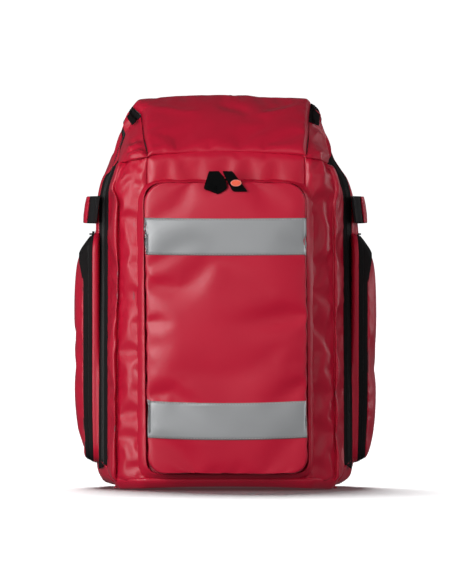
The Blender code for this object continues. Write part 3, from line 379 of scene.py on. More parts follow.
boot_plan = np.array([
    (-0.1540, -0.0362), (-0.1548, -0.0690), (-0.1180, -0.1068), (0.0, -0.1076),
    (0.1180, -0.1068), (0.1548, -0.0690), (0.1540, -0.0362),
])
boot_line = []
for before, corner, after in zip(boot_plan[:-2], boot_plan[1:-1], boot_plan[2:]):
    start = corner + (before - corner) * min(0.5, BOOT_TURN / np.linalg.norm(before - corner))
    end = corner + (after - corner) * min(0.5, BOOT_TURN / np.linalg.norm(after - corner))
    boot_line += [(1 - t) ** 2 * start + 2 * t * (1 - t) * corner + t * t * end for t in np.linspace(0, 1, 6)]
boot_line = resample(np.vstack([boot_plan[:1], boot_line, boot_plan[-1:]]), 130)
boot_run = np.gradient(boot_line, axis=0)
boot_out = unit(np.column_stack([boot_run[:, 1], -boot_run[:, 0]]))
boot_shape = [
    (-0.0030, BOOT_TOP_Z - 0.0040), (-0.0024, BOOT_TOP_Z - 0.0004), (-0.0008, BOOT_TOP_Z + 0.0006),
    (0.0006, BOOT_TOP_Z - 0.0010), (0.0010, BOOT_TOP_Z - 0.0030), (-0.0010, 0.0085), (-0.0034, 0.0050),
    (-0.0058, 0.0022), (-0.0086, SOLE_Z), (-0.0160, SOLE_Z),
]
boot_rows = []
for spread, z in boot_shape:
    plan = boot_line + boot_out * spread
    droop = 0.0042 * np.clip(1 - (boot_line[:, 0] / 0.150) ** 2, 0, 1) * np.clip((0.012 - z) / 0.008, 0, 1)
    waver = [0.0005 * noise.noise(Vector((p[0] * 40, p[1] * 40, 2.0))) for p in plan]
    boot_rows.append(np.column_stack([plan + boot_out * np.array(waver)[:, None], z + droop]))
sole_edge = boot_rows[-1]
for share in (0.35, 0.7, 1.0):
    inner = sole_edge.copy()
    inner[:, 1] += (BOOT_FOLD_Y - inner[:, 1]) * share
    inner[:, 2] = SOLE_Z + (inner[:, 2] - SOLE_Z) * (1 - share) + 0.0016 * share**2
    boot_rows.append(inner)
door_boot = skin("door_boot_cloth", boot_rows)
sewn(door_boot, red_cloth, 0.0012)
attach(door_boot, "door")
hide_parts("door_boot")

boot_profile = [
    (-0.0340, 0.0026), (-0.0200, 0.0010), (0.0300, 0.0008), (0.0900, 0.0008), (0.1090, 0.0010),
    (0.1146, 0.0040), (0.1156, 0.0100), (0.1158, 0.0220), (0.1154, 0.0285), (0.1140, 0.0300),
    (0.1130, 0.0285), (0.1128, 0.0240),
]
profile_y, profile_z = spline(boot_profile, 44).T
rear_rows = []
for share in np.linspace(-1, 1, 60):
    draw = 1 - max(0.0, abs(share) - 0.93) / 0.07 * 0.25
    x = np.full(len(profile_y), REAR_BOOT_HALF * share)
    rear_rows.append(np.column_stack([x, profile_y, profile_z * draw + 0.0006 * (1 - draw)]))
rear_boot = skin("rear_boot_cloth", rear_rows, flip=True)
sewn(rear_boot, red_cloth, 0.0010)
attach(rear_boot, "pack")
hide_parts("rear_boot")

# Main zip: a heavy coil zip between tub and door, up one side, over the top and down the other.
# Each half is black woven tape sewn to its cloth edge, with a nylon coil along the free edge.
zip_cloth = woven(
    "black_zip_tape", (0.0090, 0.0078, 0.0080), 0.78, pitch=0.0012, relief=0.5, drift=0.2, gloss=0.12
)
coil_black = woven(
    "black_zip_coil", (0.0080, 0.0078, 0.0080), 0.42, pitch=0.0006, relief=0.2, drift=0.2, gloss=0.3
)
ZIP_POINTS = 600
ZIP_FOOT_Z = 0.030
ZIP_MIDDLE_Z = 0.27


def rings_round(line, radius, sides, closed=False):
    """Rings of points round a line; radius may vary along it."""
    ahead = np.roll(line, -1, axis=0) - np.roll(line, 1, axis=0)
    if not closed:
        ahead[0], ahead[-1] = line[1] - line[0], line[-1] - line[-2]
    ahead = unit(ahead)
    first = unit(np.cross(ahead, (0.31, 0.87, 0.38)))
    second = np.cross(ahead, first)
    turns = np.arange(sides) * 2 * math.pi / sides
    return np.stack([line + radius * (first * math.cos(a) + second * math.sin(a)) for a in turns], axis=1)


def add_faces(piece, faces):
    """Adds faces between points that the piece has, such as those that close its ends."""
    corners = [tuple(v.co) for v in piece.data.vertices]
    old = [list(p.vertices) for p in piece.data.polygons]
    piece.data.clear_geometry()
    piece.data.from_pydata(corners, [], old + faces)
    piece.data.update()


def dress(piece, look, flat_ends=False):
    """Gives a piece its finish and smooth shading; the faces that close its ends may stay flat."""
    piece.data.materials.append(look)
    smooth = [not flat_ends or len(p.vertices) == 4 for p in piece.data.polygons]
    piece.data.polygons.foreach_set("use_smooth", smooth)
    return piece


def coil(name, path, look, radius, pitch, closed=False):
    """A row of zip teeth: a thin rod of six sides whose width swells at every tooth."""
    path = np.asarray(path, float)
    whole = np.vstack([path, path[:1]]) if closed else path
    length = np.linalg.norm(np.diff(whole, axis=0), axis=1).sum()
    line = resample(path, int(length / pitch) * 2, closed)
    swell = np.where(np.arange(len(line)) % 2, 1.0, 0.40)[:, None] * radius
    made = skin(name, rings_round(line, swell, 6, closed), wrap=True)
    last = (len(line) - 1) * 6
    if closed:
        add_faces(made, [[last + k, last + (k + 1) % 6, (k + 1) % 6, k] for k in range(6)])
    else:
        add_faces(made, [list(range(5, -1, -1)), [last + k for k in range(6)]])
    return dress(made, look)


def zip_ring(side):
    """The main zip's outline in space; side is as in zip_corners."""
    return front_ring(zip_corners(side), ZIP_POINTS, FOLD_Y + side * ZIP_HALF_DEPTH, ZIP_LEAN)


def zip_line(side):
    """A line of the main zip that gives way on the tub's side, where the tub's edge has slumped over it."""
    ring = zip_ring(side)
    if side > 0:
        ring += pinch(ring)[:, None] * np.array((0.0090, 0.0120, 0))
        ring[:, 1] += 0.004 * foot_share(ring)
    return ring


coil_run = np.flatnonzero(zip_ring(0)[:, 2] > ZIP_FOOT_Z)
zip_shape = [(1.12, -0.0022), (1.0, -0.0004), (0.75, 0.0004), (0.45, 0.0008), (0.2, 0.0004), (0.08, -0.0006)]
for body, word, edge in (("door", "door", -1), ("pack", "rear", 1)):
    rows = []
    for side, proud in zip_shape:
        outward = zip_ring(side * edge) - np.array((0.0, 0.0, ZIP_MIDDLE_Z))
        outward[:, 1] = 0
        rows.append((zip_line(side * edge) + unit(outward) * proud)[coil_run])
    tape = skin(f"{word}_main_zip_tape", rows, flip=edge < 0)
    sewn(tape, zip_cloth, 0.0011, levels=0)
    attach(tape, body)
    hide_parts(f"{word}_zip_tape")
    teeth = coil(f"{word}_main_zip_coil", zip_line(0.15 * edge)[coil_run], coil_black, 0.0020, 0.0030)
    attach(teeth, body)

# Side pockets: a red gusset sewn to the tub, a black coil zip round its edge, and a full red cover.
# The pocket slopes in to the tub at its head and foot. A strip of hinge cloth lets the cover swing back.
SIDE_FRONT_Y, SIDE_REAR_Y = -0.011, 0.086
SIDE_BOTTOM, SIDE_TOP, SIDE_RADIUS = 0.036, 0.3565, 0.026
SIDE_COUNT = 220
HEAD_DROP = 0.0185
COVER_X, COVER_HALF, COVER_INSET, COVER_RADIUS = 0.2035, 0.0372, 0.0115, (0.0150, 0.0150)
SIDE_MIDDLE_Y = (SIDE_FRONT_Y + SIDE_REAR_Y) / 2


def pillow(name, half, low, high, radius, spacing, wall, crown, place, flip=False):
    """A swelled face with a side wall; place turns (across, up, out) into a point.

    radius is that of the two lower corners and of the two upper ones. It returns the piece and which of its
    points are sewn down: the wall's last three loops.
    """
    turn = np.linspace(0, math.pi / 2, 8)
    foot, head = radius
    steps = max(3, int((high - low - foot - head) / spacing))
    middle = np.linspace(low + foot, high - head, steps)[1:-1]
    row_v = np.concatenate([low + foot * (1 - np.cos(turn)), middle, high - head * (1 - np.cos(turn[::-1]))])
    row_w = half - np.concatenate(
        [foot * (1 - np.sin(turn)), np.zeros(len(middle)), head * (1 - np.sin(turn[::-1]))]
    )
    columns = max(8, int(2 * half / spacing))
    across = row_w[:, None] * np.linspace(-1, 1, columns)[None]
    share = (row_v - low) / (high - low)
    out = crown * (1 - (across / half) ** 4) * (1 - (2 * share - 1) ** 6)[:, None]
    face = np.stack([across, np.repeat(row_v[:, None], columns, axis=1), out], axis=-1)
    number = np.arange(face.shape[0] * columns).reshape(face.shape[0], columns)
    border = np.concatenate([number[0], number[1:, -1], number[-1, -2::-1], number[-2:0:-1, 0]])
    points = [face.reshape(-1, 3)]
    edge = points[0][border]
    run = np.roll(edge, -1, axis=0) - np.roll(edge, 1, axis=0)
    outward = unit(np.column_stack([run[:, 1], -run[:, 0], np.zeros(len(run))]))
    quads = [quads_between(number)]
    inner = border
    for step, (spread, depth) in enumerate(wall):
        loop = edge + outward * spread
        loop[:, 2] = -depth
        outer = len(points[0]) + step * len(border) + np.arange(len(border))
        points.append(loop)
        quads.append(np.stack([inner, outer, np.roll(outer, -1), np.roll(inner, -1)], axis=-1))
        inner = outer
    quads = np.vstack(quads)
    if flip:
        quads = quads[:, ::-1]
    points = np.array([place(*p) for p in np.vstack(points)])
    held = np.arange(len(points)) >= len(points) - 3 * len(border)
    return new_piece(name, points.tolist(), quads.tolist()), held


def side_slope(z):
    """How far the side pocket stands out at a height, as a share of its full depth."""
    head = np.clip((SIDE_TOP + 0.004 - z) / 0.034, 0, 1)
    foot = np.clip((z - 0.028) / 0.11, 0, 1)
    return (0.60 + 0.40 * np.sin(head * math.pi / 2) ** 0.9) * (0.74 + 0.26 * np.sin(foot * math.pi / 2))


def side_loop(side, inset, x, head=0.0):
    """A loop of the side pocket's outline at a distance x from the middle plane; head lowers its top."""
    low_y, high_y = SIDE_FRONT_Y + inset, SIDE_REAR_Y - inset
    low_z, high_z = SIDE_BOTTOM + inset, SIDE_TOP - inset - head
    r = SIDE_RADIUS - inset
    corners = [(low_y, low_z, r), (high_y, low_z, r), (high_y, high_z, r), (low_y, high_z, r)]
    flat = rounded(corners, SIDE_COUNT)
    depth = (x - TUB_HALF_WIDTH) * side_slope(flat[:, 1])
    depth += 0.28 * head * np.clip((flat[:, 1] - 0.29) / 0.03, 0, 1)
    return np.column_stack([side * (TUB_HALF_WIDTH + depth), flat[:, 0], flat[:, 1]])


def lay_on(piece, points, away, lift):
    """Points moved along a direction onto a piece, and lifted off it."""
    tree = BVHTree.FromObject(piece, bpy.context.evaluated_depsgraph_get())
    away = Vector(away).normalized()
    laid = []
    for point in np.asarray(points, float).reshape(-1, 3):
        hit, normal, _, _ = tree.ray_cast(Vector(point) + away * 0.1, -away, 0.2)
        if hit is None:
            hit, normal, _, _ = tree.find_nearest(Vector(point))
        if normal.dot(away) < 0:
            normal = -normal
        laid.append(hit + normal * lift)
    return np.array(laid).reshape(np.asarray(points).shape)


for side, word in ((-1, "left"), (1, "right")):
    shape = [(-0.0012, 0.1768), (0.0, 0.1792), (0.0004, 0.1825), (0.0002, 0.1850), (0.0012, 0.1866)]
    loops = [side_loop(side, inset, x) for inset, x in shape]
    for loop, share in zip(loops[1:], (0.60, 0.20)):
        front = mouth_y + ZIP_LEAN * loop[:, 2]
        along = (loop[:, 1] - front) / (BACK_Y - BACK_EDGE - front) * (TUB_ROWS - 1) / SWELL_ROWS
        loop[:, 0] += side * share * wall_swell(loop[:, 2], along)
    loops[0] = lay_on(rear_tub, loops[0], (side, 0, 0), -0.0014)
    gusset = skin(f"side_gusset_{word}_cloth", loops, wrap=True, flip=side > 0)
    sewn(gusset, red_cloth, 0.0012)
    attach(gusset, "pack")
    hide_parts(f"side_gusset_{word}")
    inner_shape = [(0.0020, 0.1858), (0.0006, 0.1864), (0.0012, 0.1890), (0.0026, 0.1916), (0.0036, 0.1924)]
    outer_shape = [
        (0.0040, 0.1934, 0.0), (0.0038, 0.1944, 0.001), (0.0048, 0.1970, 0.009), (0.0060, 0.1992, 0.016),
        (0.0078, 0.1998, HEAD_DROP),
    ]
    for kind, shape, body, teeth_inset, teeth_x in (
        ("inner", inner_shape, "pack", 0.0030, 0.1922),
        ("outer", outer_shape, f"side_pocket_{word}", 0.0038, 0.1938),
    ):
        tape = skin(
            f"side_{kind}_zip_{word}", [side_loop(side, *row) for row in shape], wrap=True, flip=side > 0
        )
        sewn(tape, zip_cloth, 0.0010)
        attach(tape, body)
        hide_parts(f"side_{kind}_tape_{word}")
        teeth = coil(
            f"side_{kind}_coil_{word}", side_loop(side, teeth_inset, teeth_x), coil_black, 0.0012, 0.0014,
            True,
        )
        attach(teeth, body)

    def place(u, v, n, side=side):
        depth = (COVER_X + n - TUB_HALF_WIDTH) * side_slope(v)
        return side * (TUB_HALF_WIDTH + depth), SIDE_MIDDLE_Y + u, v

    wall = [(0.0030, 0.0010), (0.0052, 0.0022), (0.0060, 0.0034), (0.0058, 0.0044), (0.0030, 0.0048)]
    cover, held = pillow(
        f"side_pocket_cover_{word}", COVER_HALF, SIDE_BOTTOM + COVER_INSET,
        SIDE_TOP - COVER_INSET - HEAD_DROP, COVER_RADIUS, 0.0046, wall, 0.0070, place, side < 0,
    )
    rumple(cover, 0.0016, 13.0, 41 + side, ~held)
    settle(cover, held, slack=0.015, push=0.6, reach=0.003, bend=12.0)
    sewn(cover, red_cloth, 0.0016, grey_lining)
    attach(cover, f"side_pocket_{word}")
    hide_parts(f"side_cover_{word}")

    hinge_rows = []
    for x, y in (
        (0.1866, 0.0836), (0.1884, 0.0862), (0.1906, 0.0870), (0.1932, 0.0872), (0.1958, 0.0864),
        (0.1978, 0.0844), (0.1986, 0.0816),
    ):
        z = np.linspace(SIDE_BOTTOM + SIDE_RADIUS, SIDE_TOP - SIDE_RADIUS - HEAD_DROP, 60)
        out = TUB_HALF_WIDTH + (x - TUB_HALF_WIDTH) * side_slope(z)
        hinge_rows.append(np.column_stack([side * out, np.full(len(z), y), z]))
    hinge_cloth = skin(f"side_hinge_cloth_{word}", hinge_rows, flip=side > 0)
    sewn(hinge_cloth, zip_cloth, 0.0009)
    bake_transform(hinge_cloth)

# Grab handles: a bowed strip of black webbing on each side, sewn flat at both feet with boxed stitching.
# A padded red sleeve covers its outer face where it is gripped.
webbing_black = woven(
    "black_webbing", (0.0095, 0.0092, 0.0095), 0.68, pitch=0.0021, relief=0.7, drift=0.18, gloss=0.18
)
dark_thread = woven("dark_thread", (0.035, 0.035, 0.037), 0.6, pitch=0.0004, relief=0.3)
GRAB_LOW, GRAB_HIGH = 0.372, 0.410


def strip(name, line, across, width, thickness, look, bulge=0.0):
    """Webbing along a line: across is the direction of its width; width and thickness may vary along it."""
    line = np.asarray(line, float)
    count = len(line)
    across = np.broadcast_to(np.asarray(across, float), line.shape)
    width = np.broadcast_to(np.asarray(width, float), count)[:, None]
    thickness = np.broadcast_to(np.asarray(thickness, float), count)[:, None]
    ahead = unit(np.gradient(line, axis=0))
    across = unit(across - ahead * (across * ahead).sum(axis=1, keepdims=True))
    out = np.cross(ahead, across)
    section = [
        (-0.5, -0.22), (-0.485, -0.42), (-0.45, -0.5), (-0.2, -0.5 - bulge), (0.2, -0.5 - bulge),
        (0.45, -0.5), (0.485, -0.42), (0.5, -0.22), (0.5, 0.22), (0.485, 0.42), (0.45, 0.5),
        (0.2, 0.5 + bulge), (-0.2, 0.5 + bulge), (-0.45, 0.5), (-0.485, 0.42), (-0.5, 0.22),
    ]
    rows = [line + across * width * u + out * thickness * v for u, v in section]
    made = skin(name, np.stack(rows, axis=1), wrap=True, flip=True)
    ring = len(section)
    add_faces(made, [list(range(ring)), [count * ring - 1 - k for k in range(ring)]])
    return dress(made, look, flat_ends=True)


def stitches(name, line, look, length=0.0027, gap=0.0015, radius=0.00028):
    """A row of stitches along a line: short tapered lengths of thread."""
    line = np.asarray(line, float)
    total = np.linalg.norm(np.diff(line, axis=0), axis=1).sum()
    count = max(1, int(total / (length + gap)))
    ends = resample(line, count * 2 + 1)
    points, quads = [], []
    for start, end in zip(ends[0:-1:2], ends[1::2]):
        along = unit(end - start)
        side = unit(np.cross(along, (0.3, 0.9, 0.31)))
        up = np.cross(along, side)
        reach = length / 2
        middle = (start + end) / 2
        base = len(points)
        for share, width in ((-1, 0.35), (-0.55, 1), (0.55, 1), (1, 0.35)):
            for a, b in ((1, 0), (0, 1), (-1, 0), (0, -1)):
                points.append(middle + along * reach * share + (side * a + up * b) * radius * width)
        for ring in range(3):
            for k in range(4):
                low, high = base + ring * 4, base + ring * 4 + 4
                quads.append((low + k, low + (k + 1) % 4, high + (k + 1) % 4, high + k))
        quads.append((base + 3, base + 2, base + 1, base))
        quads.append((base + 12, base + 13, base + 14, base + 15))
    return dress(new_piece(name, [tuple(p) for p in points], quads), look)


def from_end(count):
    """How many steps each point of a line is from its nearer end."""
    return np.minimum(np.arange(count), np.arange(count)[::-1])


for side, word in ((-1, "left"), (1, "right")):
    middle_z = (GRAB_LOW + GRAB_HIGH) / 2
    near, far = 0.1800, 0.1928
    bow = [
        (near, -0.011), (near + 0.0002, -0.001), (near + 0.0020, 0.008), (far - 0.004, 0.018), (far, 0.030),
        (far + 0.0012, 0.048), (far, 0.066), (far - 0.004, 0.078), (near + 0.0034, 0.088),
        (near + 0.0022, 0.097), (near + 0.0020, 0.107),
    ]
    line = spline([(side * x, y, middle_z) for x, y in bow], 70)
    tilt = np.array((-side * 0.13, 0, 1.0))
    handle = strip(f"grab_handle_{word}_webbing", line, tilt, GRAB_HIGH - GRAB_LOW, 0.0026, webbing_black)
    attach(handle, "pack")
    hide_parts(f"grab_handle_{word}")
    grip = line[20:50] + np.array((side * 0.0026, 0, 0))
    taper = np.clip(from_end(len(grip)) / 3.0, 0.25, 1)
    sleeve = strip(f"grab_sleeve_{word}", grip, tilt, 0.0376, 0.0036 * taper, red_cloth, bulge=0.25)
    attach(sleeve, "pack")
    for end, low_y, high_y in (("front", -0.0095, 0.0005), ("rear", 0.0955, 0.1055)):
        x = side * (near + (0.0016 if end == "front" else 0.0036))
        low, high = GRAB_LOW + 0.003, GRAB_HIGH - 0.003
        boxed = [
            (x, low_y, low), (x, high_y, low), (x, high_y, high), (x, low_y, high), (x, low_y, low),
            (x, high_y, high),
        ]
        tack = stitches(f"grab_stitches_{word}_{end}", boxed, dark_thread)
        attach(tack, "pack")

# Back panel: black ballistic cloth behind the frame, set into the tub's rear edge with a red piping cord.
# The pads and straps are sewn to it, and the lining covers its inner face.
ballistic = woven(
    "black_ballistic_cloth", (0.017, 0.0175, 0.018), 0.66, pitch=0.0017, relief=0.6, drift=0.15, gloss=0.4
)
panel_sides = []
for edge in (drawn_in[TUB_COUNT // 2 :], drawn_in[: TUB_COUNT // 2]):
    edge = edge[np.argsort(edge[:, 2])]
    half = np.abs(edge[:, 0])
    base = edge[:, 2] < 0.1
    half[base] = np.maximum.accumulate(half[base])
    panel_sides.append((edge[:, 2], half))
back_rows = []
for z in np.linspace(drawn_in[:, 2].min() + 0.0004, drawn_in[:, 2].max() - 0.0006, 74):
    left, right = (np.interp(z, heights, half) for heights, half in panel_sides)
    x = np.linspace(-left, right, 50)
    back_rows.append(np.column_stack([x, np.full(len(x), BACK_Y - 0.0012), np.full(len(x), z)]))
back_panel = skin("back_panel", back_rows, flip=True)
sewn(back_panel, ballistic, 0.0022, grey_lining, levels=0)
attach(back_panel, "pack")
cord_rings = rings_round(drawn_in + np.array((0, 0.0014, 0)), 0.0022, 8, closed=True)
piping = dress(skin("back_piping", np.concatenate([cord_rings, cord_rings[:1]]), wrap=True), red_cloth)
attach(piping, "pack")

# Frame: a moulded plastic sheet and base board, with two aluminium stays riveted in front of the sheet.
# They slide into the lining behind the main compartment.
def moulded(name, colour, roughness, grain=900.0, relief=0.12, gloss=0.5):
    """Moulded plastic or rubber with a fine grain and slightly worn gloss."""
    look, shader, add, link, place = new_look(name)
    slow = add("ShaderNodeTexNoise", Vector=place, Scale=45.0, Detail=4.0)
    fine = add("ShaderNodeTexNoise", Vector=place, Scale=grain, Detail=2.0)
    low, high = tuple(c * 0.82 for c in colour), tuple(min(1.0, c * 1.22) for c in colour)
    shade = add("ShaderNodeMix", {"data_type": "RGBA"}, _0=slow.outputs["Fac"], _6=(*low, 1), _7=(*high, 1))
    link(shade.outputs[2], shader.inputs["Base Color"])
    rough = add("ShaderNodeMapRange", _0=slow.outputs["Fac"], _1=0.3, _2=0.7)
    rough.inputs[3].default_value = max(0.05, roughness - 0.08)
    rough.inputs[4].default_value = min(1.0, roughness + 0.08)
    link(rough.outputs[0], shader.inputs["Roughness"])
    bump = add("ShaderNodeBump", Strength=relief, Distance=0.0003, Height=fine.outputs["Fac"])
    link(bump.outputs[0], shader.inputs["Normal"])
    shader.inputs["Specular IOR Level"].default_value = gloss
    return look


black_plastic = moulded("black_moulded_plastic", (0.018, 0.018, 0.019), 0.42)
stay_metal, stay_shader, add, link, place = new_look("brushed_aluminium")
stay_shader.inputs["Base Color"].default_value = (0.62, 0.63, 0.64, 1)
stay_shader.inputs["Metallic"].default_value = 1.0
stretch = add("ShaderNodeMapping", Vector=place, Scale=(900.0, 900.0, 8.0))
scratch = add("ShaderNodeTexNoise", Vector=stretch.outputs[0], Scale=1.0, Detail=3.0)
brushed = add("ShaderNodeMapRange", _0=scratch.outputs["Fac"], _1=0.3, _2=0.7, _3=0.28, _4=0.48)
link(brushed.outputs[0], stay_shader.inputs["Roughness"])
for names, look in (
    (("frame_sheet", "base_board"), black_plastic), (("frame_stay_left", "frame_stay_right"), stay_metal)
):
    for name in names:
        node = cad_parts[name]
        node.data.materials.clear()
        node.data.materials.append(look)

# Dividers: two foam shelves in grey cloth that sit across the tub, bound with black tape along the front.
# They rest on hook strips on the lining, so that they can be moved.
DIVIDER_HALF, DIVIDER_THICK, DIVIDER_REAR_Y = 0.1738, 0.008, 0.1010
for name, bottom in (("lower_divider", 0.185), ("upper_divider", 0.335)):
    middle_z = bottom + DIVIDER_THICK / 2
    front_y = FOLD_Y + ZIP_HALF_DEPTH + 0.003 + ZIP_LEAN * (bottom + DIVIDER_THICK)
    x = np.linspace(-DIVIDER_HALF, DIVIDER_HALF, 60)
    line = np.column_stack([x, np.full(len(x), (front_y + DIVIDER_REAR_Y) / 2), np.full(len(x), middle_z)])
    ends = np.clip((DIVIDER_HALF - np.abs(x)) / 0.006, 0, 1)
    thick = 0.0046 + 0.0030 * np.sqrt(ends) - 0.0006 * np.exp(-((np.abs(x) % 0.058 - 0.029) / 0.004) ** 2)
    width = DIVIDER_REAR_Y - front_y - 0.0012 * (1 - ends)
    shelf = strip(f"{name}_padding", line, (0, 1, 0), width, thick, grey_lining, bulge=0.02)
    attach(shelf, "pack")
    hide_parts(name)
    edge_line = line[1:-1] * np.array((1, 0, 1)) + np.array((0, front_y + 0.003, 0))
    binding = strip(f"{name}_binding", edge_line, (0, 1, 0), 0.0050, 0.0086, zip_cloth)
    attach(binding, "pack")

# Back pads: two long foam pads and a lumbar pad in black spacer mesh, sewn to the back panel.
# Sewn channels cross them, so that the mesh swells in between.
def spacer_mesh(name, colour, cell):
    """Knitted mesh with small round holes, each painted darker as the shade inside it."""
    look, shader, add, link, place = new_look(name)
    cells = add("ShaderNodeTexVoronoi", Vector=place, Scale=1 / cell, Randomness=0.25)
    hole = add("ShaderNodeMapRange", _0=cells.outputs["Distance"], _1=0.15, _2=0.42)
    # Painted shade: the holes are a quarter as bright as the yarn, for the shade that falls inside them.
    hole_shade = tuple(c * 0.25 for c in colour)
    shade = add("ShaderNodeMix", {"data_type": "RGBA"}, _0=hole.outputs[0], _6=(*hole_shade, 1), _7=(*colour, 1))
    link(shade.outputs[2], shader.inputs["Base Color"])
    shader.inputs["Roughness"].default_value = 0.8
    bump = add("ShaderNodeBump", Strength=0.8, Distance=0.0008, Height=hole.outputs[0])
    link(bump.outputs[0], shader.inputs["Normal"])
    return look


air_mesh = spacer_mesh("black_spacer_mesh", (0.026, 0.027, 0.028), 0.0032)
PAD_FACE_Y = BACK_Y + 0.0112
CHANNEL_WIDTH, CHANNEL_DEPTH = 0.0052, 0.0058
pad_wall = [(0.0022, 0.0016), (0.0036, 0.0042), (0.0040, 0.0070), (0.0030, 0.0096), (0.0006, 0.0110)]
pads = [
    ("back_pad_left", -0.062, 0.042, 0.142, 0.406, (0.208, 0.274, 0.340)),
    ("back_pad_right", 0.062, 0.042, 0.142, 0.406, (0.208, 0.274, 0.340)),
    ("lumbar_pad", 0.0, 0.0635, 0.044, 0.126, (0.085,)),
]
for name, middle_x, half, low, high, channels in pads:

    def on_back(u, v, n, middle_x=middle_x, half=half, channels=channels):
        groove = sum(math.exp(-(((v - c) / CHANNEL_WIDTH) ** 2)) for c in channels)
        inside = max(0.0, 1 - (abs(u) / half) ** 8)
        return middle_x + u, PAD_FACE_Y + n - CHANNEL_DEPTH * groove * inside * (n > -0.0005), v

    pad, held = pillow(
        f"{name}_mesh", half, low, high, (0.016, 0.016), 0.0044, pad_wall, 0.0034, on_back, True
    )
    for c in channels:
        held |= np.abs(points_of(pad)[:, 2] - c) < CHANNEL_WIDTH / 2
    rumple(pad, 0.0008, 40.0, 51, ~held)
    settle(pad, held, slack=0.012, push=0.6, reach=0.003, bend=5.0, frames=14)
    sewn(pad, air_mesh, 0.0008)
    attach(pad, "pack")
    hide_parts(name)

# Yoke: the padded block across the shoulders that the straps and the haul handle are sewn to.
# Black ballistic cloth over foam, with a row of stitching inside its edge.
def on_yoke(u, v, n):
    return u, BACK_Y + 0.0130 + n, v


yoke, _ = pillow(
    "strap_yoke_cloth", 0.1010, 0.4195, 0.4465, (0.006, 0.006), 0.0042,
    [(0.0016, 0.0012), (0.0026, 0.0034), (0.0028, 0.0080), (0.0016, 0.0122)], 0.0018, on_yoke, True,
)
sewn(yoke, ballistic, 0.0008)
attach(yoke, "pack")
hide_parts("strap_yoke")
yoke_line = [
    (x, BACK_Y + 0.0136, z)
    for x, z in ((-0.097, 0.4232), (0.097, 0.4232), (0.097, 0.4428), (-0.097, 0.4428), (-0.097, 0.4232))
]
yoke_seam = stitches("yoke_stitches", lay_on(yoke, resample(yoke_line, 160), (0, 1, 0), 0.0002), dark_thread)
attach(yoke_seam, "pack")

# Shoulder straps: curved foam straps in black cloth with bound edges, and webbing with bar tacks down each.
# A ladder lock at the lower end takes the webbing that comes up from the foot of the back.
STRAP_TOP_Z, STRAP_END_Z = 0.4350, 0.1966
STRAP_Y = 0.1343
STRAP_POINTS = 56
LOCK_TOP, LOCK_LOW = 0.1956, 0.1736
WEBBING_WIDTH, WEBBING_THICK, WEBBING_END_Z = 0.0248, 0.0019, 0.0640
STERNUM_Z = 0.360
SHELL_X = (0.0222, 0.0212, 0.0170, 0.0120, 0.0070, 0.0030, 0.0012)
SHELL_WIDTH = {
    "left": (0.0225, 0.0262, 0.0276, 0.0250, 0.0262, 0.0270, 0.0240),
    "right": (0.0225, 0.0270, 0.0278, 0.0250, 0.0200, 0.0170, 0.0120),
}
SHELL_THICK = {
    "left": (0.0050, 0.0072, 0.0084, 0.0086, 0.0084, 0.0078, 0.0060),
    "right": (0.0050, 0.0072, 0.0084, 0.0078, 0.0056, 0.0050, 0.0040),
}
strap_share = np.linspace(0, 1, STRAP_POINTS)
strap_x = 0.066 + 0.022 * strap_share
strap_width = 0.058 - 0.016 * strap_share + 0.014 * np.sin(np.pi * strap_share)
strap_z = STRAP_TOP_Z + (STRAP_END_Z - STRAP_TOP_Z) * strap_share


def joined(name, pieces):
    """One piece from several; the first one's finish comes first."""
    corners, faces, slots, looks = [], [], [], []
    for piece in pieces:
        start = len(corners)
        corners += [tuple(v.co) for v in piece.data.vertices]
        for face in piece.data.polygons:
            look = piece.data.materials[face.material_index]
            if look not in looks:
                looks.append(look)
            faces.append([start + v for v in face.vertices])
            slots.append(looks.index(look))
        bpy.data.objects.remove(piece)
    made = new_piece(name, corners, faces)
    for look in looks:
        made.data.materials.append(look)
    made.data.polygons.foreach_set("material_index", slots)
    made.data.polygons.foreach_set("use_smooth", [len(f) == 4 for f in faces])
    made.data.update()
    return made


def bar(name, start, end, width, thickness, across, look):
    """A short rounded bar of plastic between two points."""
    line = resample([start, end], 6)
    shape = np.array((0.7, 0.95, 1, 1, 0.95, 0.7))
    return strip(name, line, across, width * shape, thickness * shape, look)


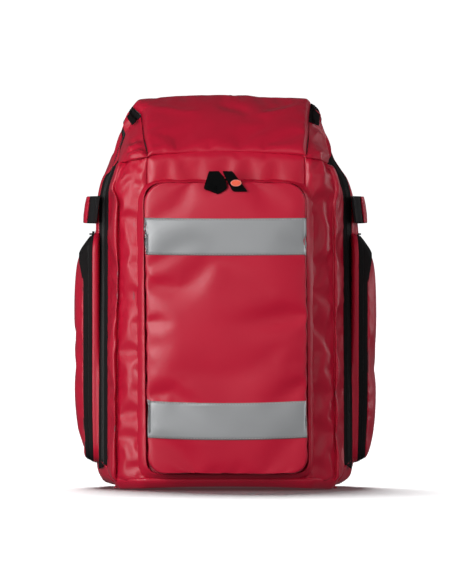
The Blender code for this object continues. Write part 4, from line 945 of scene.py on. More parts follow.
for side, word in ((-1, "left"), (1, "right")):
    line = np.column_stack([side * strap_x, np.full(STRAP_POINTS, STRAP_Y), strap_z])
    ends = np.clip(np.minimum(strap_share, 1 - strap_share) / 0.035, 0, 1) ** 0.5
    padding = strip(
        f"shoulder_strap_{word}_padding", line, (1, 0, 0), strap_width - 0.004 * (1 - ends),
        0.0050 + 0.0068 * ends, ballistic, bulge=0.05,
    )
    padding.modifiers.new("smooth", "SUBSURF").levels = 1
    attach(padding, f"shoulder_{word}")
    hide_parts(f"shoulder_strap_{word}")
    for edge, name in ((-1, "inner"), (1, "outer")):
        edge_line = line + np.outer(edge * (strap_width / 2 - 0.0012), (1, 0, 0))
        binding = strip(
            f"strap_binding_{word}_{name}", edge_line[1:-1], (1, 0, 0), 0.0046, 0.0074, zip_cloth, bulge=0.2
        )
        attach(binding, f"shoulder_{word}")
        seam = stitches(
            f"strap_stitches_{word}_{name}", edge_line[3:-3] + np.array((-edge * 0.0042, 0.0062, 0)),
            dark_thread,
        )
        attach(seam, f"shoulder_{word}")
    tape_line = line[2:-1] + np.array((0, 0.0070, 0))
    tape = strip(f"strap_tape_{word}", tape_line, (1, 0, 0), 0.0250, 0.0014, webbing_black)
    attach(tape, f"shoulder_{word}")
    tacks = []
    for index in range(6, 52, 9):
        low = line[index] + np.array((-0.0105, 0.0080, 0))
        row = [low, low + np.array((0.0210, 0, 0))]
        tacks.append(stitches(f"tack_{index}", row, dark_thread, 0.0016, 0.0002, 0.0006))
    tack = joined(f"strap_tacks_{word}", tacks)
    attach(tack, f"shoulder_{word}")

    x = side * strap_x[-1]
    rails = []
    for rail_x in (x - 0.0150, x + 0.0150):
        foot, head = (rail_x, STRAP_Y, LOCK_LOW + 0.0010), (rail_x, STRAP_Y, LOCK_TOP - 0.0004)
        rails.append(bar("rail", foot, head, 0.0044, 0.0050, (1, 0, 0), black_plastic))
    for z, lift, size in (
        (LOCK_TOP - 0.0022, 0.0, 0.0044), (LOCK_LOW + 0.0118, 0.0012, 0.0046),
        (LOCK_LOW + 0.0026, -0.0006, 0.0052),
    ):
        tips = (x - 0.0160, STRAP_Y + lift, z), (x + 0.0160, STRAP_Y + lift, z)
        rails.append(bar("rung", *tips, size, 0.0046, (0, 0, 1), black_plastic))
    lock = joined(f"ladder_lock_{word}_body", rails)
    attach(lock, f"shoulder_{word}")
    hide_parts(f"ladder_lock_{word}")
    run = spline(
        [
            (x, STRAP_Y + 0.0030, 0.1760), (x, STRAP_Y + 0.0016, 0.1700), (x, STRAP_Y, 0.150),
            (x, STRAP_Y + 0.0008, 0.110), (x, STRAP_Y, WEBBING_END_Z),
        ],
        50,
    )
    webbing = strip(
        f"strap_webbing_{word}_run", run, (1, 0, 0), WEBBING_WIDTH, WEBBING_THICK, webbing_black
    )
    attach(webbing, f"shoulder_{word}")
    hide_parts(f"strap_webbing_{word}")
    hem_line = [(x, STRAP_Y + 0.0018, WEBBING_END_Z + 0.0032 * k) for k in range(6)]
    hem = strip(
        f"strap_webbing_hem_{word}", hem_line, (1, 0, 0), WEBBING_WIDTH, WEBBING_THICK, webbing_black
    )
    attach(hem, f"shoulder_{word}")

    low_line = [(x, 0.1128, 0.0372), (x, 0.1192, 0.0440), (x, 0.1344, 0.0580), (x, 0.1350, 0.0604)]
    top_line = [(x, 0.1128, 0.0602), (x, 0.1240, 0.0606), (x, 0.1345, 0.0606)]
    wings = [
        strip("wing_low", spline(low_line, 24), (1, 0, 0), 0.0250, 0.0020, webbing_black),
        strip("wing_top", spline(top_line, 16), (1, 0, 0), 0.0246, 0.0018, webbing_black),
    ]
    for web_x in (x - 0.0112, x + 0.0112):
        web_line = [(web_x, 0.1130, 0.0560), (web_x, 0.1190, 0.0560), (web_x, 0.1260, 0.0575)]
        wings.append(strip("wing_web", web_line, (0, -0.25, 1), (0.0300, 0.0200, 0.0080), 0.0014, ballistic))
    anchor = joined(f"strap_anchor_{word}_wing", wings)
    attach(anchor, "pack")
    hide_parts(f"strap_anchor_{word}")

    edge_share = (STRAP_TOP_Z - STERNUM_Z) / (STRAP_TOP_Z - STRAP_END_Z)
    root = np.interp(edge_share, strap_share, strap_x - strap_width / 2) + 0.001
    chest_line = resample([(side * root, STRAP_Y, STERNUM_Z), (side * 0.0216, STRAP_Y, STERNUM_Z)], 12)
    chest = strip(f"sternum_strap_{word}_webbing", chest_line, (0, 0, 1), 0.0200, 0.0022, webbing_black)
    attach(chest, f"shoulder_{word}")
    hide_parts(f"sternum_strap_{word}")
    shell_line = [(side * shell_x, STRAP_Y, STERNUM_Z) for shell_x in SHELL_X]
    halves = [
        strip(
            "shell", shell_line, (0, 0, 1), SHELL_WIDTH[word], SHELL_THICK[word], black_plastic, bulge=0.06
        )
    ]
    for rib_x in (0.0190, 0.0164, 0.0138):
        foot = (side * rib_x, STRAP_Y + 0.0042, STERNUM_Z - 0.0080)
        head = (side * rib_x, STRAP_Y + 0.0042, STERNUM_Z + 0.0080)
        halves.append(bar("rib", foot, head, 0.0012, 0.0012, (1, 0, 0), black_plastic))
    buckle = joined(f"sternum_buckle_{word}_half", halves)
    buckle.modifiers.new("smooth", "SUBSURF").levels = 1
    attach(buckle, f"shoulder_{word}")
    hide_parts(f"sternum_buckle_{word}")

# Haul handle: a loop of heavy webbing that hangs behind the top of the pack, with a sleeve round the grip.
# Two tabs of folded webbing, sewn above the yoke, hold its ends.
HAUL_Y = 0.1303
haul_points = [
    (-0.045, 0.5028), (-0.045, 0.490), (-0.0445, 0.478), (-0.038, 0.4665), (-0.024, 0.4632), (0.0, 0.4626)
]
haul_points += [(-x, z) for x, z in reversed(haul_points[:-1])]
haul_line = spline([(x, HAUL_Y, z) for x, z in haul_points], 90)
loop_band = strip("haul_loop", haul_line, (0, 1, 0), 0.0044, 0.0132, webbing_black, bulge=0.02)
grip_line = haul_line[30:60]
grip_width = 0.0050 * np.clip(from_end(len(grip_line)) / 2 + 0.9, 0.9, 1)
grip = strip("haul_grip", grip_line, (0, 1, 0), grip_width, 0.0138, ballistic, bulge=0.03)
haul = joined("haul_handle_loop", [loop_band, grip])
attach(haul, "haul_handle")
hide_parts("haul_handle")
for side, word in ((-1, "left"), (1, "right")):
    x = side * 0.0594
    fold = spline(
        [
            (x, 0.1128, 0.4985), (x, 0.1220, 0.4978), (x, 0.1325, 0.4990), (x, 0.1348, 0.5030),
            (x, 0.1325, 0.5070), (x, 0.1220, 0.5082), (x, 0.1128, 0.5075),
        ],
        40,
    )
    tab = strip(f"haul_tab_{word}_webbing", fold, (1, 0, 0), 0.0136, 0.0018, webbing_black)
    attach(tab, "pack")
    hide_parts(f"haul_tab_{word}")

# Door gussets: two long red panels between the front panel and the main zip, each with a tuck down it.
# They are sewn to the front panel, to the zip tape and under the hood, and a grey lining covers the inside.
FRONT_Y = -0.104
FRONT_SEAM_X = 0.110
DOOR_FOOT_Z = 0.012
DOOR_EDGE_Y = FOLD_Y - ZIP_HALF_DEPTH
GUSSET_ROWS = 100
GUSSET_FRONT_TOP, GUSSET_TOP, GUSSET_RIM_TOP = 0.4670, 0.4605, 0.4610


def door_rim(z):
    """Half width and depth of the door's edge at the main zip."""
    if z < BASE_Z + FOOT_RADIUS:
        turn = math.sqrt(max(0.0, FOOT_RADIUS**2 - (BASE_Z + FOOT_RADIUS - z) ** 2))
        x = TUB_HALF_WIDTH - 2 * ZIP_STEP - FOOT_RADIUS + turn
    else:
        lean = (TUB_HALF_WIDTH - TOP_HALF_WIDTH) / (TOP_CORNER_Z + 2 * ZIP_RISE - SHOULDER_Z)
        above = z - SHOULDER_Z
        soft = 0.5 * (above + math.sqrt(above**2 + 0.018**2))
        x = TUB_HALF_WIDTH - 2 * ZIP_STEP - lean * soft
    return x, DOOR_EDGE_Y + ZIP_LEAN * z


def fold(piece, line, width, height, fade=0.3):
    """Raises a round ridge, or with a minus height sinks a valley, along a line drawn in the front view."""
    points, normals = points_of(piece), normals_of(piece)
    path = spline(line, 60)
    gaps = np.linalg.norm(points[:, None, ::2] - path[None], axis=2)
    along = gaps.argmin(axis=1) / (len(path) - 1)
    ends = np.clip(np.minimum(along, 1 - along) / fade, 0, 1)
    lift = height * np.exp(-((gaps.min(axis=1) / width) ** 2)) * ends * ends * (3 - 2 * ends)
    put_points(piece, points + normals * lift[:, None])


def tuck_line(side, z):
    """Where the tuck runs at a height, and how deep it still is there."""
    x = 0.1528 - 0.0038 * min(1.0, z / 0.40)
    if side < 0:
        x += 0.0070 * float(np.clip((z - 0.398) / 0.024, 0, 1)) ** 1.5
        depth = float(np.clip((0.432 - z) / 0.030, 0, 1))
    else:
        x += 0.0030 * math.exp(-(((z - 0.418) / 0.014) ** 2))
        depth = 0.55 * float(np.clip((0.425 - z) / 0.050, 0, 1))
    return x, depth * min(1.0, max(0.0, z - DOOR_FOOT_Z) / 0.012 + 0.25)


def gusset_section(side, share):
    """The gusset at one height, from the front seam round the tuck to the zip."""
    z_front, z, z_rim = (
        DOOR_FOOT_Z + (top - DOOR_FOOT_Z) * share for top in (GUSSET_FRONT_TOP, GUSSET_TOP, GUSSET_RIM_TOP)
    )
    tuck_x, depth = tuck_line(side, z)
    rim_x, rim_y = door_rim(z_rim)
    rim_x -= float(slump(z_rim)) * (side > 0)
    tuck_x = min(tuck_x, rim_x - 0.0065)
    valley_y = -0.0735 + 0.0042 * depth
    front = [
        (FRONT_SEAM_X, FRONT_Y + 0.0010, z_front),
        (FRONT_SEAM_X + 0.0030, FRONT_Y - 0.0002, z_front),
        (0.1185, FRONT_Y + 0.0006, z_front),
        (0.1265, FRONT_Y + 0.0064, z_front),
        (0.1380, FRONT_Y + 0.0152, (z_front + z) / 2),
        (tuck_x - 0.0052, -0.0795, z),
        (tuck_x - 0.0012, valley_y - 0.0022, z),
        (tuck_x, valley_y, z),
    ]
    rear = [
        (tuck_x, valley_y, z),
        (tuck_x + 0.0006, valley_y - 0.0030 * depth, z),
        (tuck_x + 0.0020, valley_y - 0.0072 * depth, z),
        (tuck_x + 0.0046, valley_y - 0.0066 * depth, z),
        (0.5 * (tuck_x + 0.005) + 0.5 * rim_x + 0.0016 * depth, 0.5 * -0.071 + 0.5 * rim_y, z_rim),
        (rim_x + 0.0004, rim_y - 0.004, z_rim),
        (rim_x, rim_y, z_rim),
    ]
    return np.vstack([spline(front, 20)[:-1], spline(rear, 18)])


left_folds = [
    ([(-0.1514, 0.4209), (-0.1417, 0.4320), (-0.1292, 0.4431)], 0.0060, 0.0034),
    ([(-0.1320, 0.4584), (-0.1222, 0.4500), (-0.1181, 0.4417)], 0.0050, -0.0028),
    ([(-0.1500, 0.4111), (-0.1431, 0.4070), (-0.1403, 0.3945), (-0.1403, 0.3780)], 0.0038, 0.0024),
    ([(-0.1270, 0.4268), (-0.1160, 0.4205)], 0.0036, -0.0020),
    ([(-0.1380, 0.2700), (-0.1340, 0.2300), (-0.1390, 0.1900)], 0.0075, 0.0010),
    ([(-0.1460, 0.0700), (-0.1330, 0.0460), (-0.1260, 0.0300)], 0.0070, 0.0016),
]
right_folds = [
    ([(0.1466, 0.4600), (0.1488, 0.4420), (0.1520, 0.4300), (0.1577, 0.4180)], 0.0022, 0.0026),
    ([(0.1540, 0.4230), (0.1508, 0.4080), (0.1490, 0.3860)], 0.0020, 0.0020),
    ([(0.1240, 0.4480), (0.1330, 0.4300), (0.1380, 0.4050)], 0.0080, 0.0020),
    ([(0.1420, 0.3400), (0.1360, 0.3000), (0.1400, 0.2500)], 0.0070, -0.0012),
    ([(0.1450, 0.0800), (0.1340, 0.0500), (0.1260, 0.0330)], 0.0070, 0.0016),
]
for side, word, folds in ((-1, "left", left_folds), (1, "right", right_folds)):
    sections = [
        gusset_section(side, share) * np.array((side, 1, 1)) for share in np.linspace(0, 1, GUSSET_ROWS)
    ]
    gusset = skin(f"door_gusset_{word}", sections, flip=side < 0)
    held = np.zeros(np.shape(sections)[:2], bool)
    held[[0, -1]] = True
    held[:, [0, 1, 18, 19, 20, -2, -1]] = True
    rumple(gusset, 0.0016, 11.0, 4 + side, ~held.ravel())
    for line, width, height in folds:
        fold(gusset, line, width, height)
    settle(gusset, held, slack=0.018, push=0.8, reach=0.004, bend=14.0)
    hood_seam = [(side * 0.1120, 0.4660), (side * 0.1300, 0.4630), (side * 0.1500, 0.4590)]
    fold(gusset, hood_seam, 0.0075, -0.0060, fade=0.04)
    sewn(gusset, red_cloth, 0.0010, grey_lining)
    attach(gusset, "door")

# Front panel: the flat red panel behind the pocket, sewn between the two gussets and under the hood's lip.
# The seams draw its edges in a little, so that it swells between them.
PANEL_ROWS, PANEL_COLUMNS = 92, 45
panel_rows = []
for share in np.linspace(0, 1, PANEL_ROWS):
    x = np.linspace(-FRONT_SEAM_X, FRONT_SEAM_X, PANEL_COLUMNS)
    top = 0.4725 - 0.0050 * (x / FRONT_SEAM_X) ** 2
    z = DOOR_FOOT_Z + (top - DOOR_FOOT_Z) * share
    edge = np.minimum((FRONT_SEAM_X - np.abs(x)) / 0.012, (1 - share) / 0.03)
    y = FRONT_Y - 0.0010 + 0.0026 * np.clip(1 - edge, 0, 1) ** 2 + 0.0030 * max(0.0, 1 - (1 - share) / 0.022)
    panel_rows.append(np.column_stack([x, y, z]))
front_panel = skin("door_front_panel", panel_rows)
held = np.zeros((PANEL_ROWS, PANEL_COLUMNS), bool)
grid = np.array(panel_rows)
held[[0, -1]] = True
held[:, [0, -1]] = True
held |= (grid[..., 2] > 0.03) & (grid[..., 2] < 0.418) & (np.abs(grid[..., 0]) < 0.1)
rumple(front_panel, 0.0012, 12.0, 9, ~held.ravel())
for line, width, height in (
    ([(-0.0960, 0.4560), (-0.0930, 0.4280)], 0.0080, 0.0006),
    ([(-0.0660, 0.4620), (-0.0720, 0.4300)], 0.0060, 0.0005),
    ([(0.0180, 0.4620), (0.0140, 0.4330)], 0.0060, 0.0004),
    ([(0.0500, 0.4580), (0.0620, 0.4300)], 0.0070, 0.0006),
):
    fold(front_panel, line, width, height)
settle(front_panel, held, slack=0.008, push=0.5, reach=0.003, bend=12.0)
sewn(front_panel, red_cloth, 0.0012, grey_lining)
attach(front_panel, "door")
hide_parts("door_shell")

# Hood sides: a red panel on each side of the hood, sewn to it, to the zip and over the gusset's top.
# The cloth is cut full here, and it falls into slanting folds.
SLOPE = math.radians(35.306)
SLOPE_LENGTH = 0.1384
SLOPE_FOOT = np.array((0.0, FRONT_Y, 0.466))
SLOPE_UP = np.array((0.0, math.cos(SLOPE), math.sin(SLOPE)))
SLOPE_OUT = np.array((0.0, -math.sin(SLOPE), math.cos(SLOPE)))
HOOD_FOOT_HALF = 0.110
HOOD_EDGES = {
    -1: [
        (0.0, 0.1095), (0.037, 0.1148), (0.0894, 0.1184), (0.100, 0.1200), (0.118, 0.1302), (0.124, 0.1314),
        (0.133, 0.1270),
    ],
    1: [(0.0, 0.1122), (0.037, 0.1155), (0.092, 0.1175), (0.119, 0.1195), (0.128, 0.1205), (0.136, 0.1200)],
}
CREST_WAVE = [
    (-0.125, -0.0050), (-0.112, -0.0030), (-0.07, 0.0002), (0.0, 0.0010), (0.03, 0.0016), (0.048, -0.0008),
    (0.09, -0.0024), (0.125, -0.0050),
]
SIDE_ROWS, SIDE_COLUMNS = 22, 44


def on_slope(x, v, n):
    """A point on the hood: x across, v up the slope and n off it."""
    return np.array((x, 0, 0)) + SLOPE_FOOT + SLOPE_UP * v + SLOPE_OUT * n


def hood_half(side, v):
    """Half width of the hood on one side; its left edge flares to the corner of the crest."""
    return float(np.interp(v, *np.transpose(HOOD_EDGES[side])))


def crest_dip(x, v):
    """How far the soft crest lies above its line at x, less and less down the slope."""
    return float(np.interp(x, *np.transpose(CREST_WAVE))) * max(0.0, v / SLOPE_LENGTH) ** 3


hood_sides = {}
left_folds = [
    ([(-0.1153, 0.4848), (-0.1264, 0.4792), (-0.1389, 0.4709)], 0.0046, 0.0044),
    ([(-0.1125, 0.4765), (-0.1278, 0.4717), (-0.1375, 0.4654)], 0.0030, -0.0034),
    ([(-0.1111, 0.4709), (-0.1250, 0.4667), (-0.1389, 0.4598)], 0.0044, 0.0044),
    ([(-0.1150, 0.4905), (-0.1264, 0.4862), (-0.1370, 0.4800)], 0.0034, -0.0026),
    ([(-0.1306, 0.5056), (-0.1396, 0.4917)], 0.0034, 0.0026),
]
right_folds = [
    ([(0.1222, 0.5014), (0.1333, 0.4945), (0.1417, 0.4889)], 0.0042, 0.0028),
    ([(0.1190, 0.4870), (0.1300, 0.4840), (0.1430, 0.4770)], 0.0038, -0.0020),
    ([(0.1278, 0.4736), (0.1389, 0.4667), (0.1458, 0.4598)], 0.0042, 0.0028),
]
for side, word, folds in ((-1, "left", left_folds), (1, "right", right_folds)):
    rim_line = zip_ring(-1) * np.array((side, 1, 1))
    rim_line = rim_line[(rim_line[:, 2] > 0.461) & (rim_line[:, 0] > 0.1185)]
    rim_line = rim_line[np.argsort(rim_line[:, 2])]
    low, soft = (0.494, 0.012) if side < 0 else (0.459, 0.008)
    over = np.clip((rim_line[:, 2] - low) / soft, 0, 1) * np.clip((0.5350 - rim_line[:, 2]) / 0.010, 0, 1)
    rim_line = rim_line + over[:, None] * np.array((0.0112, -0.0040, 0.0010))
    sunk = np.array((slump(0.458) * (side > 0), 0, 0))
    front_lip = [
        (0.1095, FRONT_Y - 0.0035, 0.4636), (0.1200, FRONT_Y - 0.0020, 0.4614),
        (0.1340, FRONT_Y + 0.0110, 0.4586),
    ]
    side_lip = np.array([(0.1440, -0.0790, 0.4562), (0.1485, -0.0640, 0.4552), (0.1510, -0.0300, 0.4558)])
    outer_line = resample(np.vstack([front_lip, side_lip - sunk, rim_line]), SIDE_COLUMNS)
    climb = np.linspace(0.0, SLOPE_LENGTH - 0.001, SIDE_COLUMNS)
    seam_line = np.array([on_slope(hood_half(side, v), v, -0.0006) for v in climb])
    seam_line[:, 2] += [
        crest_dip(side * x, v) - 0.0016 * (v / SLOPE_LENGTH) ** 8 for x, v in zip(seam_line[:, 0], climb)
    ]
    up = np.linspace(0, 1, SIDE_COLUMNS)
    grid = []
    for share in np.linspace(0, 1, SIDE_ROWS - 2):
        row = seam_line + (outer_line - seam_line) * share
        swell = np.sin(np.pi * up) ** 0.7 * np.clip((0.82 - up) / 0.2, 0, 1)
        row[:, 2] += 0.008 * math.sin(math.pi * share) * swell
        row[:, 0] += 0.005 * math.sin(math.pi * share**1.5) * swell
        grid.append(row)
    lip_share = np.clip((0.60 - up) / 0.1, 0, 1)[:, None]
    for turn in ((-0.0024, 0.0018, -0.0013), (-0.0060, 0.0050, 0.0004)):
        grid.append(outer_line + np.array(turn) * lip_share)
    grid = np.array(grid) * np.array((side, 1, 1))
    hood_side = skin(f"hood_side_{word}", grid, flip=side > 0)
    held = np.zeros((SIDE_ROWS, SIDE_COLUMNS), bool)
    held[[0, -4, -3, -2, -1]] = True
    held[:, [0, -1]] = True
    rumple(hood_side, 0.0014, 18.0, 14 + side, ~held.ravel())
    for line, width, height in folds:
        fold(hood_side, line, width, height)
    settle(hood_side, held, slack=0.02, push=0.6, reach=0.004, bend=8.0)
    sewn(hood_side, red_cloth, 0.0012, grey_lining)
    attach(hood_side, "door")
    hood_sides[word] = hood_side

# Hood and top pocket flap: one padded red panel from the front lip to the crest, where the top zip closes it.
# The lower part is sewn down, and the upper part is the pocket's flap.
HOOD_COLUMNS = 56
HOOD_BODY_ROWS = 34
hood_rows = []
lip = [(0.0030, -0.0035), (-0.0022, -0.0030), (-0.0052, 0.0000), (-0.0050, 0.0036), (-0.0015, 0.0062)]
body = [
    (v, 0.0072 + 0.0042 * math.sin(math.pi * v / 0.135))
    for v in np.linspace(0.004, SLOPE_LENGTH - 0.0075, HOOD_BODY_ROWS)
]
crest = [(SLOPE_LENGTH - 0.0040, 0.0060), (SLOPE_LENGTH - 0.0018, 0.0030), (SLOPE_LENGTH - 0.0016, 0.0012)]
for v, n in lip + body + crest:
    row = []
    for across in np.linspace(-1, 1, HOOD_COLUMNS):
        half = hood_half(-1 if across < 0 else 1, v) - 0.0008
        x = half * math.copysign(abs(across) ** 0.9, across)
        roll = max(0.0, (abs(x) - half + 0.005) / 0.005)
        lift = (n if n < 0.004 else 0.0040 + (n - 0.0040) * (1 - roll**2)) - 0.0036 * roll**2
        lower = 0.0052 * (x / HOOD_FOOT_HALF) ** 2 * max(0.0, 1 - v / 0.03)
        point = on_slope(x, v - lower + 0.0035 + 0.0058 * float(np.clip(1 - v / 0.06, 0, 1)), lift)
        point[2] += crest_dip(x, v)
        row.append(point)
    hood_rows.append(row)
hood = skin("hood", hood_rows)
held = np.zeros((len(hood_rows), HOOD_COLUMNS), bool)
held[:3] = True
held[-2:] = True
held[:, [0, -1]] = True
rumple(hood, 0.0016, 9.0, 21, ~held.ravel())
for line, width, height in (
    ([(-0.1167, 0.5320), (-0.0847, 0.5285), (-0.0570, 0.5237), (-0.0250, 0.5250)], 0.0050, 0.0022),
    ([(-0.0194, 0.5375), (0.0125, 0.5306), (0.0389, 0.5209)], 0.0060, -0.0026),
    ([(0.0361, 0.5181), (0.0681, 0.5250), (0.1139, 0.5375)], 0.0050, 0.0024),
    ([(0.0444, 0.5260), (0.0820, 0.5348), (0.1028, 0.5403)], 0.0045, -0.0020),
    ([(-0.0900, 0.4760), (-0.0700, 0.4840)], 0.0080, 0.0014),
):
    fold(hood, line, width, height)
settle(hood, held, slack=0.012, push=0.6, reach=0.004, bend=14.0)
sewn(hood, red_cloth, 0.0030, grey_lining)
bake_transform(hood)
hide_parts("hood_panel", "top_flap")

# Top zip: black tape and coil under the flap's edge; its square-cut ends come out on both sides of the hood.
# The tape is sewn to the hood sides, and the coil follows the flap round the opening.
ZIP_ENDS = {
    "left": (
        [
            (-0.1188, 0.5197), (-0.1204, 0.5264), (-0.1307, 0.5343), (-0.1318, 0.5365), (-0.1268, 0.5412),
            (-0.1195, 0.5440),
        ],
        [
            (-0.1312, 0.5088), (-0.1398, 0.5236), (-0.1388, 0.5303), (-0.1361, 0.5374), (-0.1280, 0.5430),
            (-0.1195, 0.5458),
        ],
    ),
    "right": (
        [(0.1183, 0.5120), (0.1198, 0.5274), (0.1212, 0.5390), (0.1222, 0.5404)],
        [(0.1306, 0.5085), (0.1324, 0.5247), (0.1293, 0.5350), (0.1267, 0.5392), (0.1232, 0.5412)],
    ),
}
for side, word in ((-1, "left"), (1, "right")):
    inner, outer = (spline(line, 20) for line in ZIP_ENDS[word])
    flat = np.array([inner + (outer - inner) * share for share in np.linspace(-0.12, 1, 10)])
    depth = FRONT_Y + (flat[..., 1] - SLOPE_FOOT[2]) / math.tan(SLOPE)
    depth += 0.0065 * np.linspace(0, 1, len(flat))[:, None]
    rows = np.stack([flat[..., 0], depth, flat[..., 1]], axis=-1)
    laid = lay_on(hood_sides[word], rows, (0, -1, 0), 0.0014)
    near = np.abs(laid[..., 1:2] - rows[..., 1:2]) < 0.010
    rows = np.where(near, laid, rows)
    wing = skin(f"top_zip_end_{word}", rows, flip=side > 0)
    sewn(wing, zip_cloth, 0.0012)
    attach(wing, "door")
tape_line = [
    (-0.1070, 0.082), (-0.1065, 0.115), (-0.1000, 0.1255), (0.1000, 0.1255), (0.1065, 0.115),
    (0.1070, 0.082),
]
rows = []
for inset, lift in ((0.0, 0.0000), (0.006, 0.0006), (0.013, 0.0004)):
    shape = [(x * (1 - inset / 0.114), v - (inset if 0.12 < v else 0)) for x, v in tape_line]
    rows.append([on_slope(x, v, lift) for x, v in spline(shape, 120)])
top_tape = skin("top_zip_tape_cloth", rows)
sewn(top_tape, zip_cloth, 0.0010, levels=0)
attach(top_tape, "door")
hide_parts("top_zip_tape")
coil_line = spline([(x * 0.955, v - (0.005 if v > 0.12 else 0)) for x, v in tape_line], 160)
coil_line = [on_slope(x, v, 0.0016) for x, v in coil_line]
top_coil = coil("top_zip_coil", coil_line, coil_black, 0.0010, 0.0014)
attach(top_coil, "door")

# Crest strip: the narrow band of red cloth on the door between the top zip and the main zip.
# It lies under the flap's edge and is sewn to both zip tapes.
crest = zip_ring(-1.1)
crest = crest[(crest[:, 2] > 0.5) & (np.abs(crest[:, 0]) < 0.125)]
crest = crest[np.argsort(crest[:, 0])]
crest_x = np.linspace(-0.1060, 0.1060, 60)
low_edge = np.array([on_slope(x, 0.1215, -0.0016) for x in crest_x])
crest_y, crest_z = (np.interp(crest_x, crest[:, 0], crest[:, axis]) for axis in (1, 2))
high_edge = np.column_stack([crest_x, crest_y, crest_z - 0.0022])
crest_rows = [low_edge + (high_edge - low_edge) * share for share in np.linspace(0, 1, 6)]
crest_strip = skin("crest_strip_cloth", crest_rows)
sewn(crest_strip, red_cloth, 0.0010, grey_lining)
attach(crest_strip, "door")

# Top pocket liner: a shallow grey cloth bag under the flap, sewn round the opening.
# Its floor sags a little between the corners.
rows = []
for depth, draw in (
    (0.0, 0.0), (0.006, 0.0012), (0.014, 0.0014), (0.0205, 0.0030), (0.0240, 0.0080), (0.0246, 0.0180)
):
    half, low, high = 0.0996 - draw, 0.0664 + draw, 0.1096 - draw
    ring = rounded([(half, low, 0.004), (half, high, 0.004), (-half, high, 0.004), (-half, low, 0.004)], 150)
    rows.append([on_slope(x, v, -0.0030 - depth) for x, v in ring])
middle = np.array(rows[-1])
for share in (0.5, 0.98):
    drawn = middle.copy()
    target = on_slope(0, 0.088, -0.0282)
    drawn[:, 1:] += (target[1:] - drawn[:, 1:]) * share
    rows.append(drawn)
liner = skin("top_pocket_lining", rows, wrap=True)
sewn(liner, grey_lining, 0.0012, levels=0)
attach(liner, "door")
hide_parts("top_pocket_liner")

# Door mesh pocket: a panel of black mesh inside the door, bound with black tape along its top.
# It is stretched flat behind the front panel and sewn down on three sides.
net = spacer_mesh("black_pocket_net", (0.030, 0.031, 0.032), 0.0042)
MESH_HALF, MESH_LOW, MESH_HIGH, MESH_Y = 0.1016, 0.0200, 0.3790, -0.0998
rows = []
for share in np.linspace(0, 1, 60):
    z = MESH_LOW + (MESH_HIGH - MESH_LOW) * share
    x = np.linspace(-MESH_HALF, MESH_HALF, 36)
    swell = 0.0007 * np.cos(x / MESH_HALF * math.pi / 2) * math.sin(math.pi * share)
    rows.append(np.column_stack([x, MESH_Y + swell, np.full(len(x), z)]))
mesh_pocket = skin("door_mesh_panel", rows, flip=True)
sewn(mesh_pocket, net, 0.0006, levels=0, offset=0.0)
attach(mesh_pocket, "door")
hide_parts("door_mesh_pocket")
hem_line = [(x, MESH_Y + 0.0004, MESH_HIGH) for x in np.linspace(-MESH_HALF, MESH_HALF, 20)]
mesh_hem = strip("door_mesh_hem", hem_line, (0, 0, 1), 0.0120, 0.0014, zip_cloth)
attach(mesh_hem, "door")

# Pocket welt: the red flange that the front pocket is zipped to, a folded strip sewn round the front panel.
# Its seam puckers it, and the hidden black zip lies in the gap inside its lip.
WELT_HALF, WELT_BOTTOM, WELT_TOP = 0.1226, 0.0125, 0.4322
WELT_RADIUS = (0.031, 0.040)
LOOP_COUNT = 300


def pocket_lean(z):
    """How far the pocket hangs to the right at a height: its head has slipped to the left."""
    return 0.0030 - 0.0106 * z


def pocket_loop(inset, y):
    """A loop of the pocket's outline, drawn in by inset, that drops back a little where the panel turns."""
    half = WELT_HALF - inset
    foot, head = (max(0.004, radius - inset) for radius in WELT_RADIUS)
    low, high = WELT_BOTTOM + inset, WELT_TOP - 0.5 * inset
    loop = front_ring(mirrored([(half, low, foot), (half, high, head)]), LOOP_COUNT, y)
    loop[:, 1] += 0.55 * np.maximum(0, np.abs(loop[:, 0]) - 0.1165) * (loop[:, 1] > -0.1075)
    loop[:, 0] += pocket_lean(loop[:, 2]) * np.clip(inset / 0.005, 0, 1) - 0.0008
    return loop


welt_shape = [
    (-0.0008, -0.0990), (-0.0002, -0.1030), (0.0012, -0.1062), (0.0040, -0.1098),
    (0.0070, -0.1130), (0.0092, -0.1146), (0.0102, -0.1142), (0.0105, -0.1120), (0.0106, -0.1060),
]
welt_rows = [pocket_loop(inset, y) for inset, y in welt_shape]
for index, strength, sunk in ((2, 0.5, 0.0012), (3, 1.0, 0.0034), (4, 1.0, 0.0026), (5, 0.6, 0.0)):
    for point in welt_rows[index]:
        ripple = noise.noise(Vector((point[0] * 95, 3.1, point[2] * 95)))
        point[1] += 0.0011 * strength * ripple + sunk * float(np.interp(point[2], (0.28, 0.34), (0, 1)))
welt = skin("pocket_welt", welt_rows, wrap=True)
sewn(welt, red_cloth, 0.0012, red_cloth)
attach(welt, "door")
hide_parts("pocket_flange")

pocket_coil = coil("pocket_zip_coil", pocket_loop(0.0160, -0.1095), coil_black, 0.0014, 0.0013, closed=True)
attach(pocket_coil, "door")
tape_shape = [(0.0138, -0.1076), (0.0160, -0.1080), (0.0185, -0.1076)]
pocket_tape = skin("pocket_zip_tape", [pocket_loop(inset, y) for inset, y in tape_shape], wrap=True)
sewn(pocket_tape, zip_cloth, 0.0008)
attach(pocket_tape, "door")

# Front pocket cover: a padded red panel with a short side wall, zipped to the welt and hinged along its foot.
# The face is cut full, so it swells between its edges and sags over its lower edge.
FACE_HALF, FACE_BOTTOM, FACE_TOP = 0.1088, 0.0262, 0.4255
FACE_RADIUS = (0.022, 0.030)
FACE_Y = -0.1385
FACE_FLARE, FLARE_Z = 0.05, 0.096


def on_pocket(u, v, n):
    return u, FACE_Y - n, v


